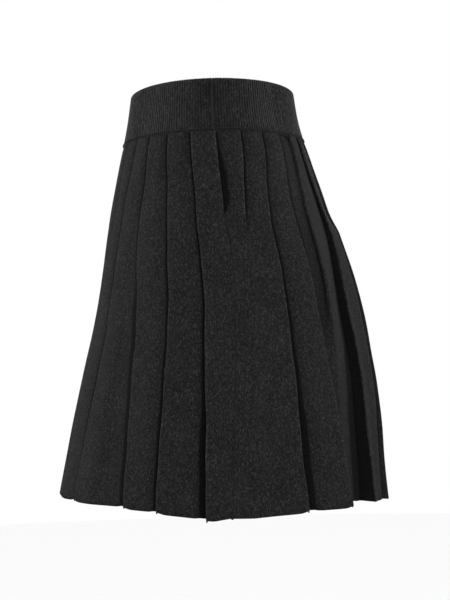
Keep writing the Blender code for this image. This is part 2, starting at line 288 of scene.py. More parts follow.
class Outline:
    """The outline of one level section, measured along its length from the left side."""

    STEPS = 1440
    # It runs past the far side both ways, so that places beyond it can be read.
    OVERLAP = 1.2

    def __init__(self, level: Level) -> None:
        """Work out the outline's points and normals.

        Args:
            level: The section's sizes.
        """
        reach = self.OVERLAP * math.pi
        turn = np.linspace(-reach, reach, self.STEPS)
        width = level.half_width * (1.0 + level.egg * np.sin(turn))
        depth = level.back + level.half_depth * np.sin(turn)
        self.points = np.stack([width * np.cos(turn), depth], axis=1)
        length = np.concatenate([[0.0], np.cumsum(np.hypot(*np.diff(self.points, axis=0).T))])
        self.length = length - np.interp(0.0, turn, length)
        self.round = float(np.interp(math.pi, turn, length) - np.interp(-math.pi, turn, length))
        tangent = np.gradient(self.points, axis=0)
        tangent /= np.hypot(*tangent.T)[:, None]
        self.normals = np.stack([tangent[:, 1], -tangent[:, 0]], axis=1)

    def _read(self, along: np.ndarray, table: np.ndarray) -> np.ndarray:
        """Read a two-column table at lengths along the outline."""
        return np.stack([np.interp(along, self.length, table[:, axis]) for axis in (0, 1)], 1)

    def place(self, along: np.ndarray, out: np.ndarray) -> np.ndarray:
        """Find points that lie along the outline and stand out of it."""
        return self._read(along, self.points) + self.outward(along) * np.asarray(out)[:, None]

    def outward(self, along: np.ndarray) -> np.ndarray:
        """Find the outward normals at lengths along the outline."""
        return self._read(along, self.normals)


def level_at(levels: Sequence[Level], down: float, window: float, reads: int = 5) -> Level:
    """Read a table of levels at any height, rounding the bends between its rows.

    Args:
        levels: The table.
        down: How far below the piece's top.
        window: Length over which a bend is rounded.
        reads: How many places in the window are averaged.

    Returns:
        The section there.
    """
    downs = [level.down for level in levels]
    reach = min(window, down, downs[-1] - down)
    places = down + reach * np.linspace(-1.0, 1.0, reads)

    def read(name: str) -> float:
        """Read one column of the table."""
        return float(np.mean(np.interp(places, downs, [getattr(one, name) for one in levels])))

    return Level(down, read("half_width"), read("half_depth"), read("back"), read("egg"))


@dataclass(frozen=True)
class Fold:
    """A pleat at one level: its corners and what its neighbours have to clear.

    Lap is how far its layers lie over each other, closed how far it is pressed shut, from 0
    to 1, and rim where its outer fold lies along the outline.
    """

    corners: np.ndarray
    top: Top
    lap: float
    depth: float
    sink: float
    bend: float
    closed: float
    rim: float


@dataclass
class PleatedCloth:
    """How the pleated jersey lies: the sizes and rules that both panels share."""

    length: float = 0.3655
    count: int = 28
    thick: float = 0.0012
    layer: float = 0.0020
    seam_gap: float = 0.00002
    hip_down: float = 0.1000
    # How far the layers of a pleat lap, as lengths or as shares of the room beside it.
    face_width: float = 0.0470
    most_lap: float = 0.66
    shared_lap: float = 0.44
    least_lap: float = -0.0030
    slope_room: float = 0.5
    # How deep a pleat is, and how it opens where it is pressed no longer.
    pressed_depth: float = 0.0044
    opening_power: float = 0.8
    relaxed_spread: float = 0.0030
    relaxed_depth: float = 0.0008
    relax_length: float = 0.0600
    unlapped: float = 0.25
    shallowing: float = 0.5
    # Where the shape of the hem begins to show, as shares of the length.
    sink_from: float = 0.35
    dip_from: float = 0.3
    dip_to: float = 0.8
    drop_from: float = 0.5
    # How round the folds are.
    pressed_bend: float = 0.0010
    relaxed_bend: float = 0.0060
    face_bend: float = 0.0110
    # The soft unevenness of the cloth, and the neck where it is linked to the band.
    neck: float = 0.0004
    neck_start: float = -0.0010
    neck_length: float = 0.0040
    sway: float = 0.0006
    sway_length: float = 0.0500
    uneven: float = 0.0005
    uneven_length: float = 0.0600
    crease_end: float = 0.15
    crease_power: float = 0.7
    # How far the shade painted beside a pleat's edge reaches, for each length that its edge stands
    # proud: further where the pleat faces away from the front lamp, and less on the hidden sides.
    shade_least: float = 0.30
    shade_slant: float = 1.80
    shade_facing: float = 0.30
    shade_most: float = 3.80
    shade_hidden: float = 0.45
    shade_widest: float = 0.0105
    shown_place: float = 5.7
    pleats: dict[int, Pleat] = field(
        default_factory=lambda: {one.number: one for one in FRONT_PLEATS + BACK_PLEATS}
    )

    def pleat(self, number: int) -> Pleat:
        """Find a pleat by its number, counted on round the skirt."""
        return self.pleats[number - self._turns(number) * self.count]

    def _turns(self, number: int) -> int:
        """Count the whole turns that a number lies from the table's own."""
        return (number + self.count // 2) // self.count

    def place(self, number: int, down: float) -> float:
        """Find a pleat's place round the section, in even pleat widths.

        Args:
            number: The pleat.
            down: How far below the band.

        Returns:
            The place of its outer fold.
        """
        pleat = self.pleat(number)
        if down < self.hip_down:
            place = blend(pleat.seam, pleat.hip, ease(0.0, self.hip_down, down))
        else:
            share = (down - self.hip_down) / (self.length - self.hip_down)
            place = blend(pleat.hip, pleat.hem, share)
        return place + self._turns(number) * self.count

    def fold(self, number: int, down: float, width: float) -> Fold:
        """Lay out one pleat's inner and outer fold at one level.

        Args:
            number: The pleat.
            down: How far below the band.
            width: One even pleat width at this level.

        Returns:
            The fold, its corners in the order of the way round.
        """
        pleat = self.pleat(number)
        lean = pleat.top.value
        along = self.place(number, down) * width
        room_under = abs(along - self.place(number - lean, down) * width)
        room_over = abs(along - self.place(number + lean, down) * width)
        at_hem = down / self.length
        open_depth = pleat.depth * at_hem**self.opening_power
        is_shared = self.pleat(number + lean).top is not pleat.top
        most = (self.shared_lap if is_shared else self.most_lap) * min(room_under, room_over)
        most = max(most - self.slope_room * open_depth, self.least_lap)
        held = min(max(1.0 - (down - pleat.hold) / self.relax_length, 0.0), 1.0)

        lap = math.sqrt(self.face_width**2 - open_depth**2) - room_under
        lap = min(max(lap, self.least_lap), most)
        lap = blend(-self.relaxed_spread, lap, ease(self.unlapped, 1.0, held))
        depth = max(open_depth, self.pressed_depth)
        depth = blend(self.relaxed_depth, depth, ease(0.0, self.shallowing, held))
        sink = pleat.sink * ease(self.sink_from, 1.0, at_hem)

        ends = np.array([(lap, -depth), (0.0, 0.0)])
        slanting = blend(ends[0], ends[1], np.array([[1.0 / 3.0], [2.0 / 3.0]]))
        pressed = ends + [(0.0, self.layer), (0.0, -self.layer)]
        between = blend(slanting, pressed, 1.0 if held == 1.0 else ease(0.0, self.layer, lap))
        corners = np.concatenate([ends[:1], between, ends[1:]])[::lean]
        corners = corners * (lean, 1.0) + (along, -sink)
        bend = blend(self.relaxed_bend, self.pressed_bend, held)
        closed = ease(self.unlapped, 1.0, held)
        return Fold(corners, pleat.top, lap, depth, sink, bend, closed, along)

    def _beside(self, fold: Fold, out: float, is_over: bool) -> float:
        """Keep a face clear of the layers of the fold beside it.

        Args:
            fold: The fold.
            out: How far out the face would lie.
            is_over: Whether the face lies over the fold's layers and not under them.

        Returns:
            How far out it lies.
        """
        if fold.lap <= 0.0:
            return out
        if is_over:
            return max(out, 2.0 * self.layer - fold.depth - fold.sink)
        return min(out, -2.0 * self.layer - fold.sink)

    def face(self, first: Fold, second: Fold, dip: float) -> np.ndarray:
        """Lay out the two bends of the face between two folds.

        Args:
            first: The fold before the face.
            second: The fold after it.
            dip: The most that the face dips between them.

        Returns:
            The two points.
        """
        start, end = first.corners[-1], second.corners[0]
        span = end[0] - start[0]
        near = max(first.lap / span, 0.0)
        far = 1.0 - max(second.lap / span, 0.0)
        middle = 0.5 * (near + far)
        shares = max(near, min(1.0 / 3.0, middle)), min(far, max(2.0 / 3.0, middle))
        line = blend(start, end, np.array(shares)[:, None])
        line[:, 1] -= dip
        line[0, 1] = self._beside(first, line[0, 1], first.top is EARLY)
        line[1, 1] = self._beside(second, line[1, 1], second.top is LATE)
        return line

    def shade_reach(self, fold: Fold, width: float) -> float:
        """Find how far the shade painted beside a pleat's edge reaches for each length that its
        edge stands proud.

        Args:
            fold: The pleat.
            width: One even pleat width there.

        Returns:
            The reach.
        """
        place = fold.rim / width
        is_shown = abs(place) < self.shown_place
        slant = -fold.top.value * math.tan(2.0 * math.pi * place / self.count)
        reach = self.shade_least + max(self.shade_slant * slant, -self.shade_facing * slant)
        return min(reach, self.shade_most if is_shown else self.shade_hidden)

    def painted_opening(self, number: int, down: float) -> float:
        """Find how wide a dark gap is painted as shade beside a pleat's edge.

        Args:
            number: The pleat.
            down: How far below the band.

        Returns:
            The width of the painted gap.
        """
        width = 0.0
        for slit in PAINTED_SLITS:
            if slit.number == number:
                narrowed = ease(slit.narrows, slit.end, down)
                width += slit.width * ease(slit.start, slit.widest, down) * (1.0 - narrowed)
        return width

    def drop(self, along: np.ndarray, down: float, width: float) -> np.ndarray:
        """Find how far points hang below their level.

        Args:
            along: Where the points lie.
            down: Their level.
            width: One even pleat width there.

        Returns:
            The drop of each point.
        """
        numbers = range(-self.count // 2, self.count // 2 + 2)
        places = [self.place(number, down) * width for number in numbers]
        drops = [self.pleat(number).drop for number in numbers]
        share = ease(self.drop_from, 1.0, down / self.length)
        return np.interp(along, places, drops) * share

    def drape(self, along: np.ndarray, down: float, width: float) -> np.ndarray:
        """Find how far the soft creases and the knit's own unevenness move the cloth out.

        Args:
            along: Where the points lie.
            down: Their level.
            width: One even pleat width there.

        Returns:
            The move of each point, the same for every layer of a pleat.
        """
        out = np.zeros_like(along)
        for crease in CREASES:
            span = crease.end_down - crease.down
            run = (crease.end_place - crease.place) * width
            across, below = along - crease.place * width, down - crease.down
            share = np.clip((across * run + below * span) / (run * run + span * span), 0.0, 1.0)
            aside = np.hypot(across - share * run, below - share * span)
            fade = self.crease_end + (1.0 - 2.0 * self.crease_end) * share
            fade = np.sin(math.pi * fade) ** self.crease_power
            out += crease.height * fade * np.exp(-((aside / crease.width) ** 2))
        turn = self.turn(along, width)
        uneven = sum(wave.at(turn, down) for wave in UNEVEN_WAVES)
        neck = self.neck * (1.0 - ease(self.neck_start, self.neck_length, down))
        return out + self.uneven * uneven * ease(0.0, self.uneven_length, down) - neck

    def turn(self, along: np.ndarray, width: float) -> np.ndarray:
        """Turn lengths round the skirt into radians."""
        return 2.0 * math.pi * along / (self.count * width)

    def swayed(self, along: np.ndarray, down: float, width: float) -> np.ndarray:
        """Find how far the pleat edges waver, alike at both side seams."""
        wave = sum(wave.at(self.turn(along, width), down) for wave in SWAY_WAVES)
        return self.sway * wave * ease(0.0, self.sway_length, down)


@dataclass(frozen=True)
class Run:
    """A run of cloth columns whose knit is measured from one anchor column."""

    start: int
    end: int
    anchor: int


@dataclass(frozen=True)
class Rows:
    """A panel's shell row by row, with what its knit is laid out by."""

    outer: list[np.ndarray]
    inner: list[np.ndarray]
    lengths: np.ndarray
    grooves: np.ndarray
    edges: np.ndarray
    runs: list[Run]


@dataclass(frozen=True)
class Section:
    """A panel's cloth at one level, and the first and the last column of each of its folds."""

    down: float
    width: float
    numbers: list[int]
    folds: list[Fold]
    line: np.ndarray
    spans: list[tuple[int, int]]


@dataclass
class SkirtPanel:
    """One pleated jersey panel: a closed thin shell from side seam to side seam."""

    name: str
    node: str
    half: Half
    top_z: float = -0.0263
    row_step: float = 0.0050
    fine_step: float = 0.0030
    fine_from: float = 0.0500
    fine_to: float = 0.1600
    neck_levels: tuple[float, ...] = (0.0006, 0.0013, 0.0022, 0.0034)
    arc_points: int = 4
    arc_share: float = 0.45
    face_points: int = 2
    under_depth: float = 0.15
    # The hem: its rounded rim, and how its corners beside the pleat lines are lifted.
    hem_round: float = 0.0004
    hem_lift: float = 0.0016
    lift_from: float = 0.85
    lift_width: float = 0.0050
    under_lift: float = 0.6
    under_lift_width: float = 0.0040
    # How far each level is evened out with those beside it.
    soft_length: float = 0.0070
    soft_share: float = 0.5
    least_soft: float = 1e-5
    level_window: float = 0.0080
    # Each face's knit begins this much further on in the map, so that no two look alike.
    run_shift: float = 0.1
    flat_width: float = 0.966
    cloth: PleatedCloth = field(default_factory=PleatedCloth)

    def _seam_end(self, fold: Fold, last: int, towards: float) -> Fold:
        """Find where cloth ends that is sewn to the inner fold of a side pleat.

        Args:
            fold: The pleat, which belongs to the other panel.
            last: Which of its corners is the inner fold, 0 or -1.
            towards: The way to this panel, 1 or -1.

        Returns:
            The pleat with the end of the cloth as its only corner.
        """
        step = fold.corners[last] - fold.corners[1 if last == 0 else -2]
        level, upright = np.abs(step) / math.hypot(*step)
        clear = self.cloth.seam_gap + 0.5 * self.cloth.thick * upright * (1.0 + level)
        end = fold.corners[last] + (towards * clear, 0.0)
        return replace(fold, corners=end[None])

    def _folds(self, down: float, width: float) -> tuple[list[int], list[Fold]]:
        """Lay out every fold of the panel at one level.

        Args:
            down: How far below the band.
            width: One even pleat width there.

        Returns:
            The pleats' numbers and their folds.
        """
        cloth = self.cloth
        table = FRONT_PLEATS if self.half is Half.FRONT else BACK_PLEATS
        numbers = [pleat.number for pleat in table]
        folds = [cloth.fold(number, down, width) for number in numbers]
        if self.half is Half.BACK:
            numbers = [numbers[0] - 1, *numbers]
            before = cloth.fold(numbers[0], down, width)
            after = cloth.fold(numbers[-1] + 1, down, width)
            numbers.append(numbers[-1] + 1)
            folds = [self._seam_end(before, -1, 1.0), *folds, self._seam_end(after, 0, -1.0)]
        return numbers, folds

    def _corners(
        self, down: float, numbers: list[int], folds: list[Fold]
    ) -> tuple[np.ndarray, np.ndarray, list[bool]]:
        """Join the folds and faces of one level.

        Args:
            down: How far below the band.
            numbers: The pleats' numbers.
            folds: Their folds.

        Returns:
            The corners, how much each is rounded, and whether a face follows each.
        """
        cloth = self.cloth
        corners, bends = [folds[0].corners], [folds[0].bend] * len(folds[0].corners)
        on_face = [False] * (len(folds[0].corners) - 1) + [True]
        for number, first, second in zip(numbers, folds, folds[1:]):
            dip = cloth.pleat(number).fall * ease(cloth.dip_from, cloth.dip_to, down / cloth.length)
            corners += [cloth.face(first, second, dip), second.corners]
            bends += [cloth.face_bend] * 2 + [second.bend] * len(second.corners)
            on_face += [True] * 2 + [False] * (len(second.corners) - 1) + [True]
        return np.concatenate(corners), np.array(bends), on_face

    def _rounded(self, corners: np.ndarray, bends: np.ndarray, on_face: list[bool]) -> np.ndarray:
        """Round the corners of a line, with the same number of points at every level.

        Args:
            corners: The line's corners.
            bends: The most that each corner is rounded.
            on_face: Whether the stretch after each corner is a face.

        Returns:
            The rounded line.
        """
        step = np.diff(corners, axis=0)
        length = np.hypot(*step.T)
        step /= length[:, None]
        room = self.arc_share * np.minimum(length[:-1], length[1:])
        reach = np.minimum(bends[1:-1], room)[:, None]
        start = corners[1:-1] - reach * step[:-1]
        end = corners[1:-1] + reach * step[1:]
        share = np.linspace(0.0, 1.0, self.arc_points)[None, :, None]
        arcs = (
            (1.0 - share) ** 2 * start[:, None]
            + 2.0 * share * (1.0 - share) * corners[1:-1][:, None]
            + share**2 * end[:, None]
        )
        pieces: list[np.ndarray] = [corners[:1]]
        ends = np.concatenate([corners[:1], end])
        starts = np.concatenate([start, corners[-1:]])
        inner = np.linspace(0.0, 1.0, self.face_points + 2)[1:-1, None]
        for index, is_face in enumerate(on_face[:-1]):
            if is_face:
                pieces.append(blend(ends[index], starts[index], inner))
            pieces.append(arcs[index] if index < len(arcs) else corners[-1:])
        return np.concatenate(pieces)

    def _corner_columns(self, on_face: list[bool]) -> list[int]:
        """Find the column in the middle of each corner's arc.

        Args:
            on_face: Whether the stretch after each corner is a face.

        Returns:
            The columns, in the corners' order.
        """
        columns, at = [0], 1
        for index, is_face in enumerate(on_face[:-1]):
            at += self.face_points if is_face else 0
            is_last = index == len(on_face) - 2
            columns.append(at if is_last else at + self.arc_points // 2)
            at += 1 if is_last else self.arc_points
        return columns

    def _spans(self, folds: list[Fold], on_face: list[bool]) -> list[tuple[int, int]]:
        """Find the first and the last column of every fold.

        Args:
            folds: The folds of one level.
            on_face: Whether the stretch after each corner is a face.

        Returns:
            The columns in the middle of each fold's first and last corner.
        """
        columns = self._corner_columns(on_face)
        firsts = np.cumsum([0] + [len(fold.corners) + 2 for fold in folds])[:-1]
        return [
            (columns[first], columns[first + len(fold.corners) - 1])
            for fold, first in zip(folds, firsts)
        ]

    def _section(self, down: float, width: float) -> Section:
        """Draw the panel's cloth at one level.

        Args:
            down: How far below the band.
            width: One even pleat width there.

        Returns:
            The section, with its line along the outline and out of it.
        """
        numbers, folds = self._folds(down, width)
        corners, bends, on_face = self._corners(down, numbers, folds)
        line = self._rounded(corners, bends, on_face)
        return Section(down, width, numbers, folds, line, self._spans(folds, on_face))

    def _runs(self, section: Section) -> list[Run]:
        """Share the columns among the pleat edges from which their knit is measured.

        Args:
            section: Any level of the panel.

        Returns:
            The runs, from one side seam to the other.
        """
        folds, spans = section.folds, section.spans
        runs: list[Run] = []
        for index, (fold, (begin, finish)) in enumerate(zip(folds, spans)):
            if finish > begin:
                runs.append(Run(begin, finish, finish if fold.top is EARLY else begin))
            if index + 1 < len(folds):
                face_end = spans[index + 1][0]
                is_late = fold.top is LATE and folds[index + 1].top is LATE
                runs.append(Run(finish, face_end, face_end if is_late else finish))
        return runs

    def _edge_columns(self, section: Section, index: int) -> tuple[slice, slice, slice]:
        """Find the columns that lie beside one pleat's edge.

        Args:
            section: The level.
            index: Which of its folds.

        Returns:
            The face beyond the edge, the layer right under it, and the cloth on top.
        """
        begin, finish = section.spans[index]
        half_arc = self.arc_points // 2
        if section.folds[index].top is EARLY:
            beyond = slice(section.spans[index - 1][1] if index else 0, begin)
            return beyond, slice(begin, finish - half_arc), slice(finish - half_arc + 1, None)
        is_last = index + 1 == len(section.spans)
        end = len(section.line) if is_last else section.spans[index + 1][0] + 1
        under = slice(begin + half_arc + 1, finish + 1)
        return slice(finish, end), under, slice(0, begin + half_arc)

    def _marks(self, section: Section) -> tuple[np.ndarray, np.ndarray]:
        """Measure how near the cloth lies to the pleat lines, where the knit paints shade beside
        each edge and a highlight on it.

        Args:
            section: The level.

        Returns:
            Each column's distance from the groove under a pleat's edge, shortened where the painted
            shade is to reach further, and from that edge on its own upper side.
        """
        cloth = self.cloth
        along, out = section.line.T
        groove, edge = np.full_like(along, FAR), np.full_like(along, FAR)
        for index, (number, fold) in enumerate(zip(section.numbers, section.folds)):
            beyond, under, over = self._edge_columns(section, index)
            gone = FAR * (1.0 - fold.closed) + (FAR if number in LIT_UNDERSIDES else 0.0)
            short = max(-fold.lap, 0.0) + cloth.painted_opening(number, section.down)
            apart = fold.top.value * (fold.rim - along[beyond])
            proud = np.maximum(-fold.sink - out[beyond], 0.0)
            reach = cloth.shade_reach(fold, section.width)
            shaded = np.minimum(reach * proud, cloth.shade_widest)
            # The painted shade reaches further where the edge stands proud, where the pleat lies
            # unlapped and where a painted slit widens it.
            groove[beyond] = np.minimum(groove[beyond], apart + gone - short - shaded)
            begin, finish = section.spans[index]
            if finish == begin:
                continue
            edge[over] = np.minimum(edge[over], np.abs(along[over] - fold.rim) + gone)
            away = np.arange(under.start, under.stop) - (begin if fold.top is EARLY else finish)
            depth = math.hypot(self.under_depth * fold.depth, fold.lap)
            away = np.abs(away) / (finish - begin) * depth
            shown = 1.0 - ease(0.0, cloth.layer, fold.lap)
            groove[under] = np.minimum(groove[under], gone + shown * away)
        return groove, edge

    def _levels(self) -> np.ndarray:
        """List the levels at which the panel is worked out.

        Returns:
            Their lengths down from the band.
        """
        length = self.cloth.length
        coarse = np.linspace(0.0, length, round(length / self.row_step) + 1)
        coarse = coarse[(coarse < self.fine_from) | (coarse > self.fine_to)]
        fine = np.arange(self.fine_from, self.fine_to, self.fine_step)
        return np.sort(np.concatenate([self.neck_levels, coarse, fine]))

    def _walls(self, middle: np.ndarray, height: np.ndarray) -> list[np.ndarray]:
        """Set the two sides of the cloth off the line through its middle.

        Args:
            middle: The (x, y) points of the line.
            height: The z of each.

        Returns:
            The points of the outer and of the inner side.
        """
        step = np.diff(middle, axis=0)
        step /= np.hypot(*step.T)[:, None]
        side = np.stack([step[:, 1], -step[:, 0]], axis=1)
        before, after = np.concatenate([side[:1], side]), np.concatenate([side, side[-1:]])
        miter = (before + after) / (1.0 + np.sum(before * after, axis=1))[:, None]
        offsets = (0.5 * self.cloth.thick, -0.5 * self.cloth.thick)
        return [np.column_stack([middle + offset * miter, height]) for offset in offsets]

    @cached_property
    def rows(self) -> Rows:
        """Work out the shell's rows, once for the panel and for its side seams.

        Returns:
            The rows.
        """
        cloth, downs = self.cloth, self._levels()
        outlines, sections = [], []
        for down in downs.tolist():
            outlines.append(Outline(level_at(SKIRT_LEVELS, down, self.level_window)))
            sections.append(self._section(down, outlines[-1].round / cloth.count))
        soften = self._softener(downs)
        drawn = np.array([section.line / (section.width, 1.0) for section in sections])
        lines = np.einsum("ij,jkl->ikl", soften, drawn)
        marks = np.array([self._marks(section) for section in sections])
        grooves, edges = np.einsum("ij,jkl->kil", soften, marks)
        outer, inner, lengths = [], [], []
        for index, (section, outline) in enumerate(zip(sections, outlines)):
            down, width = section.down, section.width
            along, out = lines[index, :, 0] * width, lines[index, :, 1]
            along = along + cloth.swayed(along, down, width)
            height = self.top_z - down - cloth.drop(along, down, width)
            height = height + self._lifted(grooves[index], edges[index], down)
            out = out + cloth.drape(along, down, width)
            middle = outline.place(along, out - 0.5 * cloth.thick)
            for side, wall in zip((outer, inner), self._walls(middle, height)):
                side.append(wall)
            steps = np.hypot(*np.diff(middle, axis=0).T)
            lengths.append(np.concatenate([[0.0], np.cumsum(steps)]))
        return Rows(outer, inner, np.array(lengths), grooves, edges, self._runs(sections[-1]))

    def _softener(self, downs: np.ndarray) -> np.ndarray:
        """Weigh every level with its neighbours, less near the two ends.

        Args:
            downs: The levels.

        Returns:
            The weights, a row for each level.
        """
        to_end = np.minimum(downs, downs[-1] - downs)
        reach = np.clip(self.soft_share * to_end, self.least_soft, self.soft_length)
        weights = np.exp(-(((downs[None] - downs[:, None]) / reach[:, None]) ** 2))
        return weights / weights.sum(axis=1, keepdims=True)

    def _lifted(self, groove: np.ndarray, edge: np.ndarray, down: float) -> np.ndarray:
        """Round off the hem's corners beside the pleat lines.

        Args:
            groove: Each column's distance from the line above it.
            edge: Its distance from its own edge.
            down: Its level.

        Returns:
            How far each column is lifted.
        """
        on_edge = np.exp(-((edge / self.lift_width) ** 2))
        under_edge = np.exp(-((np.maximum(groove, 0.0) / self.under_lift_width) ** 2))
        near = on_edge + self.under_lift * under_edge
        return self.hem_lift * near * ease(self.lift_from, 1.0, down / self.cloth.length)

    def _faces(self, count: int, columns: int) -> list[list[int]]:
        """Join the points of the outer side, the inner side and the hem's rim.

        Args:
            count: How many rows each side has.
            columns: How many points each row has.

        Returns:
            The faces, pointing outwards.
        """
        row, column = np.meshgrid(np.arange(count - 1), np.arange(columns - 1), indexing="ij")
        first = (row * columns + column).ravel()
        outside = np.stack([first, first + columns, first + columns + 1, first + 1], axis=1)
        along, below = np.arange(columns - 1), np.arange(count - 1) * columns
        inner, rim, last = count * columns, 2 * count * columns, (count - 1) * columns

        def strip(upper: int, lower: int) -> np.ndarray:
            """Join two rows by the numbers of their first points."""
            near, far = upper + along, lower + along
            return np.stack([near, far, far + 1, near + 1], axis=1)

        top = np.stack([along, along + 1, inner + along + 1, inner + along], axis=1)
        hem = [strip(last, rim), strip(rim, inner + last)]
        start = np.stack([below, inner + below, inner + below + columns, below + columns], axis=1)
        end = start[:, ::-1] + columns - 1
        quads = np.concatenate([outside, outside[:, ::-1] + inner, top, *hem, start, end])
        far = columns - 1
        corners = [[last, inner + last, rim], [last + far, rim + far, inner + last + far]]
        return quads.tolist() + corners

    def _map(self, rows: Rows) -> np.ndarray:
        """Lay the knit's map over the faces, in their order.

        Args:
            rows: The panel's rows.

        Returns:
            The map's value at each corner of each face, in metres of knit.
        """
        downs, lengths = self._levels(), rows.lengths
        count, columns = lengths.shape
        left, right = np.zeros((2, count, columns - 1))
        for number, run in enumerate(rows.runs):
            anchor = lengths[:, run.anchor : run.anchor + 1] - self.run_shift * number
            left[:, run.start : run.end] = lengths[:, run.start : run.end] - anchor
            right[:, run.start : run.end] = lengths[:, run.start + 1 : run.end + 1] - anchor
        high = np.repeat(downs[:-1, None], columns - 1, axis=1)
        low = np.repeat(downs[1:, None], columns - 1, axis=1)
        corners = ((left[:-1], high), (left[1:], low), (right[1:], low), (right[:-1], high))
        grid = np.stack([np.stack(corner, axis=-1) for corner in corners], axis=2)
        grid = grid.reshape(-1, 4, 2)

        def border(row: int) -> np.ndarray:
            """Lay the map of the faces along a row.

            Args:
                row: The first row or the last.

            Returns:
                The map's value at each corner of each face.
            """
            level = np.full(columns - 1, downs[row])
            near = np.stack([left[row], level], axis=1)
            far = np.stack([right[row], level], axis=1)
            return np.stack([near, near, far, far], axis=1)

        sides = np.zeros((2 * (count - 1), 4, 2))
        sides[:, :, 1] = np.tile(downs[:-1], 2)[:, None]
        top = border(0)[:, [0, 3, 3, 0]]
        quads = np.concatenate([grid, grid[:, ::-1], top, border(-1), border(-1), sides])
        return np.concatenate([quads.reshape(-1, 2), np.full((6, 2), downs[-1])])

    def build(self) -> bpy.types.Object:
        """Build the panel as a closed shell with its knit laid out in a map.

        Returns:
            The panel.
        """
        rows = self.rows
        rim = 0.5 * (rows.outer[-1] + rows.inner[-1]) - (0.0, 0.0, self.hem_round)
        points = np.concatenate([*rows.outer, *rows.inner, rim])
        panel = shell(self.name, points, self._faces(*rows.lengths.shape), self._map(rows))
        # The groove and edge distances tell the knit where to paint shade beside each pleat edge
        # and a highlight on it.
        for name, marks in ((GROOVE, rows.grooves), (EDGE, rows.edges)):
            values = np.concatenate([marks.ravel(), marks.ravel(), marks[-1]])
            give(panel.data, name, values)
        return panel

    def dress(self, finish: KnitFinish) -> bpy.types.Object:
        """Build the panel, give it its finish and put it in the frame.

        Args:
            finish: The knit it is made of.

        Returns:
            The finished panel.
        """
        panel = self.build()
        panel.data.materials.append(finish.material())
        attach(panel, BODY)
        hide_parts(self.node)
        return panel


def put(name: str, data: bpy.types.ID) -> bpy.types.Object:
    """Make an object and link it to the scene.

    Args:
        name: Its name.
        data: Its mesh, light or camera.

    Returns:
        The object.
    """
    made = bpy.data.objects.new(name, data)
    bpy.context.scene.collection.objects.link(made)
    return made


def give(mesh: bpy.types.Mesh, name: str, values: np.ndarray) -> None:
    """Give the points of a mesh an attribute.

    Args:
        mesh: The mesh.
        name: The attribute's name.
        values: A number for each point, or a vector where there is more than one axis.
    """
    is_vector = values.ndim > 1
    kind, entry = ("FLOAT_VECTOR", "vector") if is_vector else ("FLOAT", "value")
    attribute = mesh.attributes.new(name, kind, "POINT")
    attribute.data.foreach_set(entry, values.astype(np.float32).ravel())


def shell(
    name: str, points: np.ndarray, faces: list[list[int]], uv: np.ndarray
) -> bpy.types.Object:
    """Make a smooth mesh object with a map of its knit.

    Args:
        name: The piece's name.
        points: Its points.
        faces: Its faces, pointing outwards.
        uv: The map's value at each corner of each face.

    Returns:
        The object, linked to the scene.
    """
    mesh = bpy.data.meshes.new(name)
    mesh.from_pydata(points.tolist(), [], faces)
    layer = mesh.uv_layers.new(name=CLOTH_MAP)
    layer.uv.foreach_set("vector", uv.astype(np.float32).ravel())
    mesh.shade_smooth()
    mesh.update()
    return put(name, mesh)


class Graph:
    """Adds nodes to a tree and joins them."""

    def __init__(self, tree: bpy.types.NodeTree) -> None:
        """Start on a tree."""
        self.tree = tree

    def node(self, kind: str, **settings: object) -> bpy.types.Node:
        """Add a node.

        Args:
            kind: The node's type.
            **settings: Properties to set on it.

        Returns:
            The node.
        """
        node = self.tree.nodes.new(kind)
        for name, value in settings.items():
            setattr(node, name, value)
        return node

    def feed(self, target: bpy.types.NodeSocket, value: object) -> None:
        """Join a socket to another, or set its value.

        Args:
            target: The input socket.
            value: An output socket or a plain value.
        """
        if isinstance(value, bpy.types.NodeSocket):
            self.tree.links.new(value, target)
        else:
            target.default_value = value

    def math(self, operation: str, *values: Number) -> bpy.types.NodeSocket:
        """Add a Math node.

        Args:
            operation: What it works out.
            *values: Its inputs.

        Returns:
            Its result.
        """
        node = self.node("ShaderNodeMath", operation=operation)
        for target, value in zip(node.inputs, values):
            self.feed(target, value)
        return node.outputs[0]

    def scale(self, value: Number, low: float, high: float) -> bpy.types.NodeSocket:
        """Stretch a value from 0 to 1 into one from low to high."""
        return self.math("MULTIPLY_ADD", value, high - low, low)

    def noise(
        self, place: bpy.types.NodeSocket, scale: float, detail: float = 2.0, axes: str = "3D"
    ) -> bpy.types.NodeSocket:
        """Add a Noise Texture.

        Args:
            place: Where it is read.
            scale: How fine it is.
            detail: How much finer noise is laid over it.
            axes: The number of axes that it changes along.

        Returns:
            Its value.
        """
        node = self.node("ShaderNodeTexNoise", noise_dimensions=axes)
        self.feed(node.inputs["Vector"], place)
        self.feed(node.inputs["Scale"], scale)
        self.feed(node.inputs["Detail"], detail)
        return node.outputs[0]

    def mix(
        self, share: Number, low: tuple[float, float, float], high: tuple[float, float, float]
    ) -> bpy.types.NodeSocket:
        """Mix two colours.

        Args:
            share: How much of the second there is.
            low: The first colour.
            high: The second.

        Returns:
            The mixed colour.
        """
        node = self.node("ShaderNodeMix", data_type="RGBA", clamp_factor=True)
        self.feed(node.inputs[0], share)
        ends = [one for one in node.inputs if one.type == "RGBA"]
        for end, colour in zip(ends, (low, high)):
            end.default_value = (*colour, 1.0)
        return next(one for one in node.outputs if one.type == "RGBA")

    def stretch(self, vector: bpy.types.NodeSocket, length: Number) -> bpy.types.NodeSocket:
        """Multiply a vector or a colour.

        Args:
            vector: What is multiplied.
            length: By how much.

        Returns:
            The result.
        """
        node = self.node("ShaderNodeVectorMath", operation="SCALE")
        self.feed(node.inputs[0], vector)
        self.feed(node.inputs["Scale"], length)
        return node.outputs[0]


class Stitch(Enum):
    """How a knit's loops lie."""

    JERSEY = "jersey"
    RIB = "rib"
    YARN = "yarn"


